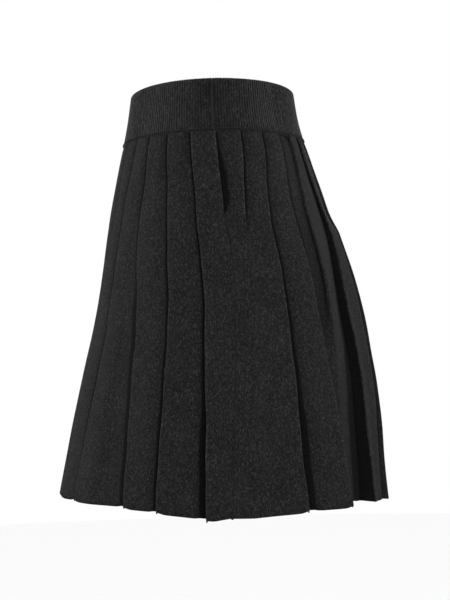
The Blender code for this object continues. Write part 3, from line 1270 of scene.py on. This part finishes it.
@dataclass(frozen=True)
class KnitFinish:
    """A heathered wool knit: its yarn's tones, its gauge, its soft surface, and the shade and
    highlights painted into its colour.

    Wale and course are the width and the height of a loop.
    """

    name: str
    slot: str
    stitch: Stitch
    dark: tuple[float, float, float]
    light: tuple[float, float, float]
    wale: float = 0.00190
    course: float = 0.00150
    relief: float = 0.00045
    relief_strength: float = 0.8
    lean: float = 0.55
    loop_fullness: float = 0.6
    loop_wave: float = 0.25
    uneven_scale: float = 190.0
    uneven_shift: float = 0.35
    twist_scales: tuple[float, float] = (2600.0, 700.0)
    # How much each half loop's own tone, the fibres, the clouds and the loops' height lighten the
    # yarn, once mix_start is taken off; the loops' height lightens their tops and darkens their
    # hollows as painted shade.
    tone_weight: float = 0.70
    fibre_weight: float = 1.00
    fibre_scale: float = 1300.0
    cloud_weight: float = 0.35
    cloud_scale: float = 38.0
    mix_detail: float = 3.0
    loop_shade_weight: float = 0.40
    mix_start: float = 0.73
    # Single light loops; painted shade in the rib valleys and painted light on their ridges;
    # painted shade beside a pleat line; and a painted highlight on its edge.
    fleck_share: float = 0.92
    fleck_tone: float = 1.5
    rib_shade_tones: tuple[float, float] = (0.62, 1.12)
    groove_shade: float = 0.80
    groove_width: float = 0.0018
    hollow_shade: float = 0.22
    hollow_width: float = 0.0080
    edge_highlight: float = 0.40
    edge_width: float = 0.0014
    roughness: float = 0.95
    sheen: float = 0.02
    sheen_roughness: float = 0.5
    specular: float = 0.05

    def material(self) -> bpy.types.Material:
        """Make the material, or find it if it is made already.

        Returns:
            The material.
        """
        if self.name in bpy.data.materials:
            return bpy.data.materials[self.name]
        material = bpy.data.materials.new(self.name)
        material.use_nodes = True
        graph = Graph(material.node_tree)
        shader = material.node_tree.nodes["Principled BSDF"]
        shader.inputs["Roughness"].default_value = self.roughness
        shader.inputs["Specular IOR Level"].default_value = self.specular
        shader.inputs["Sheen Weight"].default_value = self.sheen
        shader.inputs["Sheen Roughness"].default_value = self.sheen_roughness
        height, tone = self._loops(graph)
        graph.feed(shader.inputs["Base Color"], self._colour(graph, height, tone))
        bump = graph.node("ShaderNodeBump")
        bump.inputs["Strength"].default_value = self.relief_strength
        bump.inputs["Distance"].default_value = self.relief
        graph.feed(bump.inputs["Height"], height)
        graph.feed(shader.inputs["Normal"], bump.outputs["Normal"])
        return material

    def _loops(self, graph: Graph) -> tuple[bpy.types.NodeSocket, bpy.types.NodeSocket]:
        """Lay the loops of the knit over its map.

        Args:
            graph: The material's nodes.

        Returns:
            The loops' height, and a random tone for each half loop.
        """
        if self.stitch is Stitch.YARN:
            return self._twist(graph)
        place = graph.node("ShaderNodeUVMap", uv_map=CLOTH_MAP).outputs["UV"]
        uneven = graph.noise(place, self.uneven_scale, axes="2D")
        shift = graph.scale(uneven, -self.uneven_shift, self.uneven_shift)
        apart = graph.node("ShaderNodeSeparateXYZ")
        graph.feed(apart.inputs["Vector"], place)
        wale = graph.math("ADD", graph.math("DIVIDE", apart.outputs["X"], self.wale), shift)
        course = graph.math("ADD", graph.math("DIVIDE", apart.outputs["Y"], self.course), shift)
        aside = graph.math("ABSOLUTE", graph.math("SUBTRACT", graph.math("FRACT", wale), 0.5))
        leg = graph.math("SUBTRACT", course, graph.math("MULTIPLY", aside, 2.0 * self.lean))
        if self.stitch is Stitch.RIB:
            across = graph.math("MULTIPLY_ADD", graph.math("MULTIPLY", aside, aside), -4.0, 1.0)
        else:
            across = graph.math("SINE", graph.math("MULTIPLY", aside, 2.0 * math.pi))
            across = graph.math("POWER", graph.math("MAXIMUM", across, 0.0), self.loop_fullness)
        waves = graph.math("SINE", graph.math("MULTIPLY", leg, 2.0 * math.pi))
        waves = graph.math("MULTIPLY_ADD", waves, self.loop_wave, 1.0 - self.loop_wave)
        height = graph.math("MULTIPLY", across, waves)
        cell = graph.node("ShaderNodeCombineXYZ")
        graph.feed(cell.inputs["X"], graph.math("FLOOR", graph.math("MULTIPLY", wale, 2.0)))
        graph.feed(cell.inputs["Y"], graph.math("FLOOR", leg))
        random = graph.node("ShaderNodeTexWhiteNoise", noise_dimensions="2D")
        graph.feed(random.inputs["Vector"], cell.outputs["Vector"])
        return height, random.outputs["Value"]

    def _twist(self, graph: Graph) -> tuple[bpy.types.NodeSocket, bpy.types.NodeSocket]:
        """Give single yarns a fibrous surface.

        Args:
            graph: The material's nodes.

        Returns:
            The fibres' height, and a slowly changing tone.
        """
        place = graph.node("ShaderNodeTexCoord").outputs["Object"]
        fine, slow = (graph.noise(place, scale) for scale in self.twist_scales)
        return fine, slow

    def _near(self, graph: Graph, name: str, width: float) -> bpy.types.NodeSocket:
        """Find how near the cloth is to a line, from 0 far off to 1 on it.

        Args:
            graph: The material's nodes.
            name: The attribute that holds the distance.
            width: How far the line reaches.

        Returns:
            The nearness.
        """
        apart = graph.node("ShaderNodeAttribute", attribute_name=name)
        share = graph.math("DIVIDE", graph.math("MAXIMUM", apart.outputs["Fac"], 0.0), width)
        square = graph.math("MULTIPLY", share, share)
        return graph.math("EXPONENT", graph.math("MULTIPLY", square, -1.0))

    def _colour(
        self, graph: Graph, height: bpy.types.NodeSocket, tone: bpy.types.NodeSocket
    ) -> bpy.types.NodeSocket:
        """Mix the heathered yarn's colour, with painted shade in the hollows of the loops and ribs
        and beside the pleat lines, and painted light on the rib ridges and the pleat edges.

        Args:
            graph: The material's nodes.
            height: The loops' height.
            tone: The random tone of each half loop.

        Returns:
            The colour.
        """
        place = graph.node("ShaderNodeTexCoord").outputs["Object"]
        fibre = graph.noise(place, self.fibre_scale, self.mix_detail)
        cloud = graph.noise(place, self.cloud_scale, self.mix_detail)
        share = graph.math("MULTIPLY", tone, self.tone_weight)
        share = graph.math("MULTIPLY_ADD", fibre, self.fibre_weight, share)
        share = graph.math("MULTIPLY_ADD", cloud, self.cloud_weight, share)
        # The loops' height paints shade into their hollows.
        share = graph.math("MULTIPLY_ADD", height, self.loop_shade_weight, share)
        yarn = graph.mix(graph.math("SUBTRACT", share, self.mix_start), self.dark, self.light)
        is_fleck = graph.math("GREATER_THAN", tone, self.fleck_share)
        tones = [graph.scale(is_fleck, 1.0, self.fleck_tone)]
        if self.stitch is not Stitch.YARN:
            # Painted shade beside the pleat lines and the band's side seams.
            groove = self._near(graph, GROOVE, self.groove_width)
            hollow = self._near(graph, GROOVE, self.hollow_width)
            tones.append(graph.scale(groove, 1.0, 1.0 - self.groove_shade))
            tones.append(graph.scale(hollow, 1.0, 1.0 - self.hollow_shade))
        if self.stitch is Stitch.RIB:
            # Painted shade in the rib valleys and painted light on their ridges.
            tones.append(graph.scale(height, *self.rib_shade_tones))
        if self.stitch is Stitch.JERSEY:
            # A painted highlight on each pleat's fold edge.
            edge = self._near(graph, EDGE, self.edge_width)
            tones.append(graph.scale(edge, 1.0, 1.0 + self.edge_highlight))
        # The flecks are the yarn's own tone; the other tones are painted shade and light.
        lift = tones[0]
        for one in tones[1:]:
            lift = graph.math("MULTIPLY", lift, one)
        return graph.stretch(yarn, lift)


@dataclass
class Waistband:
    """The 1x1 rib band, turned double, in two halves that meet at the side seams."""

    name: str
    node: str
    half: Half
    height: float = BAND_HEIGHT
    wall: float = 0.0026
    ribs: int = 124
    rib_height: float = 0.0007
    columns_per_rib: int = 4
    outer_rows: int = 14
    inner_rows: int = 5
    roll: float = 0.0010
    roll_rows: int = 4
    level_window: float = 0.0120
    seam_pinch: float = 0.0005
    pinch_width: float = 0.0009
    # How fast the shade painted beside the side seams fades down the band.
    seam_shade_fade: float = 0.030
    seam_gap: float = 0.00002
    flat_width: float = 0.349
    seed: int = 7

    def _profile(self) -> np.ndarray:
        """Work out the band's cross-section.

        Returns:
            The length down the band's height and the depth into its wall of each point.
        """
        down = np.linspace(self.height, self.roll, self.outer_rows)
        outside = np.stack([down, np.zeros_like(down)], axis=1)
        turn = np.linspace(0.0, math.pi, self.roll_rows + 2)[1:-1]
        reach = 0.5 * self.wall
        over = np.stack([self.roll * (1.0 - np.sin(turn)), reach * (1.0 - np.cos(turn))], axis=1)
        down = np.linspace(self.roll, self.height, self.inner_rows)
        inside = np.stack([down, np.full_like(down, self.wall)], axis=1)
        return np.concatenate([outside, over, inside])

    def _faces(self, rows: int, count: int) -> list[list[int]]:
        """Join the rings of points and close both ends.

        Args:
            rows: How many points the cross-section has.
            count: How many cross-sections there are.

        Returns:
            The faces, pointing outwards.
        """
        row, column = np.meshgrid(np.arange(rows), np.arange(count - 1), indexing="ij")
        first = (row * count + column).ravel()
        above = (((row + 1) % rows) * count + column).ravel()
        quads = np.stack([first, first + 1, above + 1, above], axis=1).tolist()
        start = [index * count for index in range(rows)]
        end = [index * count + count - 1 for index in reversed(range(rows))]
        return [*quads, start, end]

    def _map(self, profile: np.ndarray, share: np.ndarray) -> np.ndarray:
        """Lay the knit's map over the faces, in their order.

        Args:
            profile: The cross-section.
            share: Where each cross-section stands, from 0 to 1.

        Returns:
            The map's value at each corner of each face, in metres of knit.
        """
        rows, around = len(profile), share * self.ribs * RIB_PITCH
        down = np.concatenate([profile[:, 0], profile[:1, 0]])
        left, right = around[:-1], around[1:]
        quads = np.zeros((rows, len(left), 4, 2))
        for corner, (side, step) in enumerate(((left, 0), (right, 0), (right, 1), (left, 1))):
            quads[:, :, corner, 0] = side[None]
            quads[:, :, corner, 1] = down[step : step + rows, None]
        return np.concatenate([quads.reshape(-1, 2), np.zeros((2 * rows, 2))])

    def build(self) -> bpy.types.Object:
        """Build the plain half band, with the directions in which its ribs are raised and where
        shade is painted beside its side seams.

        Returns:
            The plain half band.
        """
        profile = self._profile()
        share = np.linspace(0.0, 1.0, self.ribs * self.columns_per_rib + 1)
        rings, normals, seam_shade = [], [], []
        for down, depth in profile.tolist():
            outline = Outline(level_at(BAND_LEVELS, down, self.level_window))
            half = 0.5 * outline.round
            start = self.half.value * half + 0.5 * self.seam_gap
            along = start + share * (half - self.seam_gap)
            to_seam = np.minimum(np.abs(along - along[0]), np.abs(along - along[-1]))
            pinch = self.seam_pinch * np.exp(-((to_seam / self.pinch_width) ** 2))
            ring = outline.place(along, -depth - pinch * (1.0 if depth < self.wall else 0.0))
            rings.append(np.column_stack([ring, np.full(len(share), 0.5 * self.height - down)]))
            normals.append(outline.outward(along))
            # The distance from the side seams, growing down the band, tells the knit where to paint
            # shade beside the pinched seams.
            seam_shade.append(to_seam + self.seam_shade_fade * down)
        faces, uv = self._faces(len(profile), len(share)), self._map(profile, share)
        band = shell(self.name, np.concatenate(rings), faces, uv)
        lie = np.gradient(profile, axis=0)
        lie /= np.hypot(*lie.T)[:, None]
        outward = -lie[:, :1, None] * np.array(normals)
        upward = np.broadcast_to(lie[:, 1:, None], (*outward.shape[:2], 1))
        give(band.data, ROUND_SHARE, np.tile(share, len(profile)))
        # The seam distances go into the groove attribute, where the knit paints shade.
        give(band.data, GROOVE, np.concatenate(seam_shade))
        give(band.data, OUTWARD, np.concatenate([outward, upward], axis=2))
        return band

    def dress(self, finish: KnitFinish, raiser: RibRaiser) -> bpy.types.Object:
        """Build the half band, raise its ribs and put it in the frame.

        Args:
            finish: The knit it is made of.
            raiser: What raises the ribs.

        Returns:
            The finished half band.
        """
        plain = self.build()
        band = raiser.apply(plain, finish.material(), self.ribs, self.rib_height, self.seed)
        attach(band, BODY)
        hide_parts(self.node)
        return band


def settled(source: bpy.types.Object, name: str) -> bpy.types.Object:
    """Turn an object with live modifiers into a plain mesh object, and remove the source.

    Args:
        source: The object to evaluate.
        name: The name of the plain one.

    Returns:
        The plain object.
    """
    graph = bpy.context.evaluated_depsgraph_get()
    mesh = bpy.data.meshes.new_from_object(source.evaluated_get(graph), depsgraph=graph)
    source.modifiers.clear()
    bpy.data.objects.remove(source, do_unlink=True)
    mesh.name = name
    return put(name, mesh)


class NodeShape:
    """A Geometry Nodes tree with named inputs, set by their sockets' identifiers."""

    def __init__(self, name: str, inputs: Sequence[tuple[str, str]]) -> None:
        """Start the tree with a geometry input, its own inputs and a geometry output.

        Args:
            name: The tree's name.
            inputs: The name and the socket type of each input.
        """
        self.tree = bpy.data.node_groups.new(name, "GeometryNodeTree")
        self.graph = Graph(self.tree)
        face = self.tree.interface
        face.new_socket(name="Geometry", in_out="INPUT", socket_type="NodeSocketGeometry")
        self.sockets = {
            label: face.new_socket(name=label, in_out="INPUT", socket_type=kind)
            for label, kind in inputs
        }
        face.new_socket(name="Geometry", in_out="OUTPUT", socket_type="NodeSocketGeometry")
        self.given = self.graph.node("NodeGroupInput").outputs
        self.result = self.graph.node("NodeGroupOutput").inputs

    def close(self, geometry: bpy.types.NodeSocket) -> None:
        """End the tree in Realize Instances and Set Material.

        Args:
            geometry: The geometry to hand out.
        """
        real = self.graph.node("GeometryNodeRealizeInstances")
        paint = self.graph.node("GeometryNodeSetMaterial")
        self.graph.feed(real.inputs["Geometry"], geometry)
        self.graph.feed(paint.inputs["Geometry"], real.outputs["Geometry"])
        self.graph.feed(paint.inputs["Material"], self.given["Material"])
        self.graph.feed(self.result["Geometry"], paint.outputs["Geometry"])

    def attribute(self, name: str, kind: str = "FLOAT") -> bpy.types.NodeSocket:
        """Read an attribute of the points.

        Args:
            name: Its name.
            kind: Its type.

        Returns:
            Its value.
        """
        node = self.graph.node("GeometryNodeInputNamedAttribute", data_type=kind)
        self.graph.feed(node.inputs["Name"], name)
        return node.outputs["Attribute"]

    def random(
        self, low: float, high: float, identity: bpy.types.NodeSocket | None = None
    ) -> bpy.types.NodeSocket:
        """Draw a number for each point, from the tree's seed.

        Args:
            low: The least that is drawn.
            high: The most.
            identity: What points of the same number share, or None for each point alone.

        Returns:
            The number.
        """
        node = self.graph.node("FunctionNodeRandomValue", data_type="FLOAT")
        ends = [one for one in node.inputs if one.name in ("Min", "Max") and one.enabled]
        for end, value in zip(ends, (low, high)):
            end.default_value = value
        if identity is not None:
            self.graph.feed(node.inputs["ID"], identity)
        self.graph.feed(node.inputs["Seed"], self.given["Seed"])
        return next(one for one in node.outputs if one.enabled)

    def run(
        self, source: bpy.types.Object, name: str, values: dict[str, object]
    ) -> bpy.types.Object:
        """Run the tree on an object and keep the result as a plain mesh.

        Args:
            source: The object to run on, which is used up.
            name: The result's name.
            values: The inputs' values by name.

        Returns:
            The plain result.
        """
        modifier = source.modifiers.new(self.tree.name, "NODES")
        modifier.node_group = self.tree
        for label, value in values.items():
            modifier[self.sockets[label].identifier] = value
        return settled(source, name)


class RibRaiser(NodeShape):
    """Raises the ribs of a band along its normals, each a little different."""

    # The least and the most that a rib stands out, as a share of the rib height.
    LEAST, MOST = 0.8, 1.2

    def __init__(self) -> None:
        """Build the tree."""
        super().__init__(
            "raise_ribs",
            (
                ("Ribs", "NodeSocketInt"),
                ("Rib Height", "NodeSocketFloat"),
                ("Seed", "NodeSocketInt"),
                ("Material", "NodeSocketMaterial"),
            ),
        )
        graph, given = self.graph, self.given
        rib = graph.math("MULTIPLY", self.attribute(ROUND_SHARE), given["Ribs"])
        wave = graph.math("COSINE", graph.math("MULTIPLY", rib, 2.0 * math.pi))
        profile = graph.math("MULTIPLY_ADD", wave, -0.5, -0.5)
        number = graph.math("FLOOR", graph.math("ADD", rib, 0.5))
        uneven = self.random(self.LEAST, self.MOST, number)
        lift = graph.math("MULTIPLY", graph.math("MULTIPLY", profile, given["Rib Height"]), uneven)
        offset = graph.stretch(self.attribute(OUTWARD, "FLOAT_VECTOR"), lift)
        move = graph.node("GeometryNodeSetPosition")
        graph.feed(move.inputs["Geometry"], given["Geometry"])
        graph.feed(move.inputs["Offset"], offset)
        self.close(move.outputs["Geometry"])

    def apply(
        self,
        band: bpy.types.Object,
        material: bpy.types.Material,
        ribs: int,
        height: float,
        seed: int,
    ) -> bpy.types.Object:
        """Raise the ribs of one band.

        Args:
            band: The plain band, which is used up.
            material: Its material.
            ribs: How many ribs it has.
            height: How far they stand out of their valleys.
            seed: What makes each rib a little different.

        Returns:
            The ribbed band.
        """
        name = band.name
        band.name = f"{name}_plain"
        values = {"Ribs": ribs, "Rib Height": height, "Seed": seed, "Material": material}
        return self.run(band, name, values)


@dataclass(frozen=True)
class ChainStitch:
    """The loops of a chain: how far apart, how long, how thick and how slanting they are."""

    spacing: float
    length: float
    yarn: float
    slant: float
    seed: int


class StitchRow(NodeShape):
    """Lays a row of small yarn loops along a line."""

    WOBBLE = 0.14  # the most that a loop turns aside of its slant, in radians
    SIDES, RINGS = 8, 6

    def __init__(self) -> None:
        """Build the tree."""
        super().__init__(
            "stitch_row",
            (
                ("Spacing", "NodeSocketFloat"),
                ("Stitch Length", "NodeSocketFloat"),
                ("Yarn Radius", "NodeSocketFloat"),
                ("Slant", "NodeSocketFloat"),
                ("Seed", "NodeSocketInt"),
                ("Material", "NodeSocketMaterial"),
            ),
        )
        graph, given = self.graph, self.given
        line = graph.node("GeometryNodeMeshToCurve")
        graph.feed(line.inputs["Mesh"], given["Geometry"])
        even = graph.node("GeometryNodeResampleCurve", mode="LENGTH")
        graph.feed(even.inputs["Curve"], line.outputs["Curve"])
        graph.feed(even.inputs["Length"], given["Spacing"])
        loop = graph.node("GeometryNodeMeshUVSphere")
        graph.feed(loop.inputs["Segments"], self.SIDES)
        graph.feed(loop.inputs["Rings"], self.RINGS)
        graph.feed(loop.inputs["Radius"], 1.0)
        size = graph.node("ShaderNodeCombineXYZ")
        graph.feed(size.inputs["X"], graph.math("MULTIPLY", given["Stitch Length"], 0.5))
        graph.feed(size.inputs["Y"], given["Yarn Radius"])
        graph.feed(size.inputs["Z"], given["Yarn Radius"])
        lay = graph.node("GeometryNodeInstanceOnPoints")
        graph.feed(lay.inputs["Points"], even.outputs["Curve"])
        graph.feed(lay.inputs["Instance"], loop.outputs["Mesh"])
        graph.feed(lay.inputs["Rotation"], self._lie())
        graph.feed(lay.inputs["Scale"], size.outputs["Vector"])
        smooth = graph.node("GeometryNodeSetShadeSmooth")
        graph.feed(smooth.inputs[0], lay.outputs["Instances"])
        self.close(smooth.outputs[0])

    def _lie(self) -> bpy.types.NodeSocket:
        """Turn each loop out of the cloth and along the line, a little slanting.

        Returns:
            The rotation.
        """
        graph = self.graph
        face_out = graph.node("FunctionNodeAlignRotationToVector", axis="Z")
        graph.feed(face_out.inputs["Vector"], self.attribute(OUTWARD, "FLOAT_VECTOR"))
        face_on = graph.node("FunctionNodeAlignRotationToVector", axis="X", pivot_axis="Z")
        graph.feed(face_on.inputs["Rotation"], face_out.outputs["Rotation"])
        tangent = graph.node("GeometryNodeInputTangent")
        graph.feed(face_on.inputs["Vector"], tangent.outputs["Tangent"])
        slant = graph.node("ShaderNodeCombineXYZ")
        wobble = self.random(-self.WOBBLE, self.WOBBLE)
        graph.feed(slant.inputs["Z"], graph.math("ADD", self.given["Slant"], wobble))
        turn = graph.node("FunctionNodeEulerToRotation")
        graph.feed(turn.inputs[0], slant.outputs["Vector"])
        lie = graph.node("FunctionNodeRotateRotation", rotation_space="LOCAL")
        graph.feed(lie.inputs["Rotation"], face_on.outputs["Rotation"])
        graph.feed(lie.inputs["Rotate By"], turn.outputs["Rotation"])
        return lie.outputs["Rotation"]

    def chain(
        self,
        name: str,
        points: np.ndarray,
        outward: np.ndarray,
        stitch: ChainStitch,
        finish: KnitFinish,
    ) -> bpy.types.Object:
        """Lay one chain and put it in the frame.

        Args:
            name: The chain's name.
            points: The points of the line it follows.
            outward: The (x, y) direction away from the cloth at each point.
            stitch: Its loops.
            finish: The yarn it is made of.

        Returns:
            The finished chain.
        """
        mesh = bpy.data.meshes.new(f"{name}_line")
        edges = [(index, index + 1) for index in range(len(points) - 1)]
        mesh.from_pydata(points.tolist(), edges, [])
        give(mesh, OUTWARD, np.column_stack([outward, np.zeros(len(outward))]))
        values = {
            "Spacing": stitch.spacing,
            "Stitch Length": stitch.length,
            "Yarn Radius": stitch.yarn,
            "Slant": stitch.slant,
            "Seed": stitch.seed,
            "Material": finish.material(),
        }
        chain = self.run(put(f"{name}_line", mesh), name, values)
        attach(chain, BODY)
        return chain


@dataclass
class LinkingSeam:
    """A chain of loops that links the pleated jersey to the band."""

    name: str
    half: Half
    down: float = 0.0506
    out: float = 0.0002
    end_gap: float = 0.0008
    points: int = 400
    stitch: ChainStitch = ChainStitch(RIB_PITCH, 0.0026, 0.00055, 0.42, 3)

    def dress(self, finish: KnitFinish, stitches: StitchRow) -> bpy.types.Object:
        """Lay the chain along the band's lower edge.

        Args:
            finish: The yarn it is made of.
            stitches: What lays a row of stitches.

        Returns:
            The finished chain.
        """
        outline = Outline(level_at(BAND_LEVELS, min(self.down, BAND_HEIGHT), 0.0))
        half = 0.5 * outline.round
        start = self.half.value * half
        along = np.linspace(start + self.end_gap, start + half - self.end_gap, self.points)
        ring = outline.place(along, np.full(self.points, self.out))
        height = np.full(self.points, 0.5 * BAND_HEIGHT - self.down)
        points = np.column_stack([ring, height])
        return stitches.chain(self.name, points, outline.outward(along), self.stitch, finish)


@dataclass
class SideSeam:
    """The chain that joins the two panels down one side, on the inside."""

    name: str
    end: int
    sunk: float = 0.4
    stitch: ChainStitch = ChainStitch(0.0021, 0.0032, 0.0016, 0.3, 11)

    def dress(self, rows: Rows, finish: KnitFinish, stitches: StitchRow) -> bpy.types.Object:
        """Lay the chain down the ends of the panels.

        Args:
            rows: The front panel's rows.
            finish: The yarn it is made of.
            stitches: What lays a row of stitches.

        Returns:
            The finished chain.
        """
        outer = np.array([row[self.end] for row in rows.outer])
        inner = np.array([row[self.end] for row in rows.inner])
        inward = inner - outer
        inward /= np.linalg.norm(inward, axis=1)[:, None]
        points = inner + self.sunk * self.stitch.yarn * inward
        return stitches.chain(self.name, points, -inward[:, :2], self.stitch, finish)


SIDE_SEAMS: tuple[SideSeam, ...] = (SideSeam("side_seam_left", -1), SideSeam("side_seam_right", 0))


@dataclass(frozen=True)
class Lamp:
    """A round soft lamp that faces the skirt."""

    name: str
    place: tuple[float, float, float]
    size: float
    power: float
    target: tuple[float, float, float] = (0.0, 0.0, -0.18)

    def build(self) -> bpy.types.Object:
        """Set up the lamp.

        Returns:
            The lamp.
        """
        data = bpy.data.lights.new(self.name, "AREA")
        data.shape = "DISK"
        data.size = self.size
        data.energy = self.power
        lamp = put(self.name, data)
        aim = (Vector(self.target) - Vector(self.place)).to_track_quat("-Z", "Y")
        lamp.matrix_world = Matrix.Translation(self.place) @ aim.to_matrix().to_4x4()
        return lamp


LAMPS: tuple[Lamp, ...] = (
    Lamp("front", (2.7, 0.1, 0.2), 2.2, 70.0),
    Lamp("left_rim", (-0.9, -1.9, 0.3), 1.2, 15.0),
    Lamp("right_rim", (-0.9, 1.9, 0.1), 1.2, 5.0),
    Lamp("top", (0.3, 0.0, 2.0), 1.6, 17.0),
    Lamp("hidden_front", (-0.6, -2.6, 0.4), 2.0, 30.0),
    Lamp("hidden_side", (-2.7, 0.0, 0.3), 2.2, 74.0),
    Lamp("hidden_back", (-0.6, 2.6, 0.4), 2.0, 30.0),
)


@dataclass
class Studio:
    """A plain pale floor in a white room, and soft lamps."""

    floor_z: float = -2.4
    floor_radius: float = 14.0
    floor_sides: int = 64
    tone: float = 0.90
    floor_light: float = 3.3
    floor_light_angle: float = 40.0

    def floor(self) -> bpy.types.Object:
        """Build the floor, evenly lit by a light of its own.

        Returns:
            The floor.
        """
        turns = np.linspace(0.0, 2.0 * math.pi, self.floor_sides + 1)[:-1]
        radius = self.floor_radius
        rim = [(radius * math.cos(turn), radius * math.sin(turn), self.floor_z) for turn in turns]
        mesh = bpy.data.meshes.new("studio_floor")
        mesh.from_pydata(rim, [], [list(range(len(rim)))])
        floor = put("studio_floor", mesh)
        material = bpy.data.materials.new("studio_white")
        material.use_nodes = True
        shader = material.node_tree.nodes["Principled BSDF"]
        shader.inputs["Base Color"].default_value = (self.tone, self.tone, self.tone, 1.0)
        shader.inputs["Roughness"].default_value = 1.0
        shader.inputs["Specular IOR Level"].default_value = 0.0
        mesh.materials.append(material)
        floor.visible_diffuse = False
        data = bpy.data.lights.new("floor_light", "SUN")
        data.energy = self.floor_light
        data.angle = math.radians(self.floor_light_angle)
        lamp = put("floor_light", data)
        lit = bpy.data.collections.new("lit_by_floor_light")
        lit.objects.link(floor)
        lamp.light_linking.receiver_collection = lit
        return floor

    def room(self) -> None:
        """Make the room white where it is seen, and leave the light to the lamps."""
        world = bpy.data.worlds.new("studio")
        world.use_nodes = True
        background = world.node_tree.nodes["Background"]
        background.inputs["Color"].default_value = (1.0, 1.0, 1.0, 1.0)
        background.inputs["Strength"].default_value = 1.0
        world.cycles_visibility.diffuse = False
        bpy.context.scene.world = world
        bpy.context.scene.view_settings.view_transform = "Standard"

    def build(self) -> None:
        """Set up the floor, the room and the lamps."""
        self.floor()
        self.room()
        for lamp in LAMPS:
            lamp.build()


@dataclass
class PhotoCamera:
    """The camera of the photograph: level with the thighs, off the wearer's left side.

    Its shift is given in pixels of the picture, over the longer side.
    """

    place: tuple[float, float, float] = (1.45, 0.0, -0.2165)
    sensor: float = 36.0
    lens: float = 81.3
    shift: tuple[float, float] = (7.0 / 600.0, 25.0 / 600.0)
    roll: float = -1.47

    def build(self) -> bpy.types.Object:
        """Set up the camera.

        Returns:
            The camera.
        """
        data = bpy.data.cameras.new("photo_camera")
        data.lens = self.lens
        data.sensor_width = self.sensor
        data.shift_x, data.shift_y = self.shift
        camera = put("photo_camera", data)
        camera.matrix_world = (
            Matrix.Translation(self.place)
            @ Matrix.Rotation(math.radians(90.0), 4, "Z")
            @ Matrix.Rotation(math.radians(90.0), 4, "X")
            @ Matrix.Rotation(math.radians(self.roll), 4, "Z")
        )
        bpy.context.scene.camera = camera
        return camera


@dataclass
class KnitMiniSkirt:
    """The whole skirt, with its finishes."""

    jersey: KnitFinish = KnitFinish(
        name="charcoal_jersey",
        slot="charcoal_jersey_knit",
        stitch=Stitch.JERSEY,
        dark=(0.0050, 0.0050, 0.0053),
        light=(0.0290, 0.0287, 0.0301),
    )
    yarn: KnitFinish = KnitFinish(
        name="charcoal_yarn",
        slot="charcoal_rib_knit",
        stitch=Stitch.YARN,
        dark=(0.0080, 0.0080, 0.0084),
        light=(0.0400, 0.0396, 0.0410),
        relief=0.0002,
    )
    rib: KnitFinish = KnitFinish(
        name="charcoal_rib",
        slot="charcoal_rib_knit",
        stitch=Stitch.RIB,
        dark=(0.0055, 0.0055, 0.0057),
        light=(0.0265, 0.0263, 0.0270),
        wale=RIB_PITCH,
        course=0.00180,
        sheen=0.12,
    )
    inner_stitch: ChainStitch = ChainStitch(0.0017, 0.0044, 0.0018, 0.42, 5)

    def build(self) -> list[bpy.types.Object]:
        """Build and dress every piece.

        Returns:
            The pieces.
        """
        raiser, stitches = RibRaiser(), StitchRow()
        pieces: list[bpy.types.Object] = []
        for half in Half:
            side = half.name.lower()
            band = Waistband(f"rib_band_{side}", f"waistband_{side}", half)
            band_piece = band.dress(self.rib, raiser)
            links = [
                LinkingSeam(f"linking_seam_{side}", half),
                LinkingSeam(
                    f"inner_seam_{side}", half, down=0.0521, out=-0.0038, stitch=self.inner_stitch
                ),
            ]
            link_pieces = [link.dress(self.yarn, stitches) for link in links]
            panel = SkirtPanel(f"pleated_{side}", f"skirt_{side}", half)
            panel_piece = panel.dress(self.jersey)
            sides = SIDE_SEAMS if half is Half.FRONT else ()
            chains = [seam.dress(panel.rows, self.yarn, stitches) for seam in sides]
            pieces += [band_piece, *link_pieces, panel_piece, *chains]
        for piece in pieces:
            LOG.info("%s: %d faces", piece.name, len(piece.data.polygons))
        return pieces


def main() -> None:
    """Build the skirt, the studio and the camera."""
    logging.basicConfig(level=logging.INFO, format="%(name)s %(message)s")
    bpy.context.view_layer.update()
    KnitMiniSkirt().build()
    Studio().build()
    PhotoCamera().build()


if __name__ == "__main__":
    main()
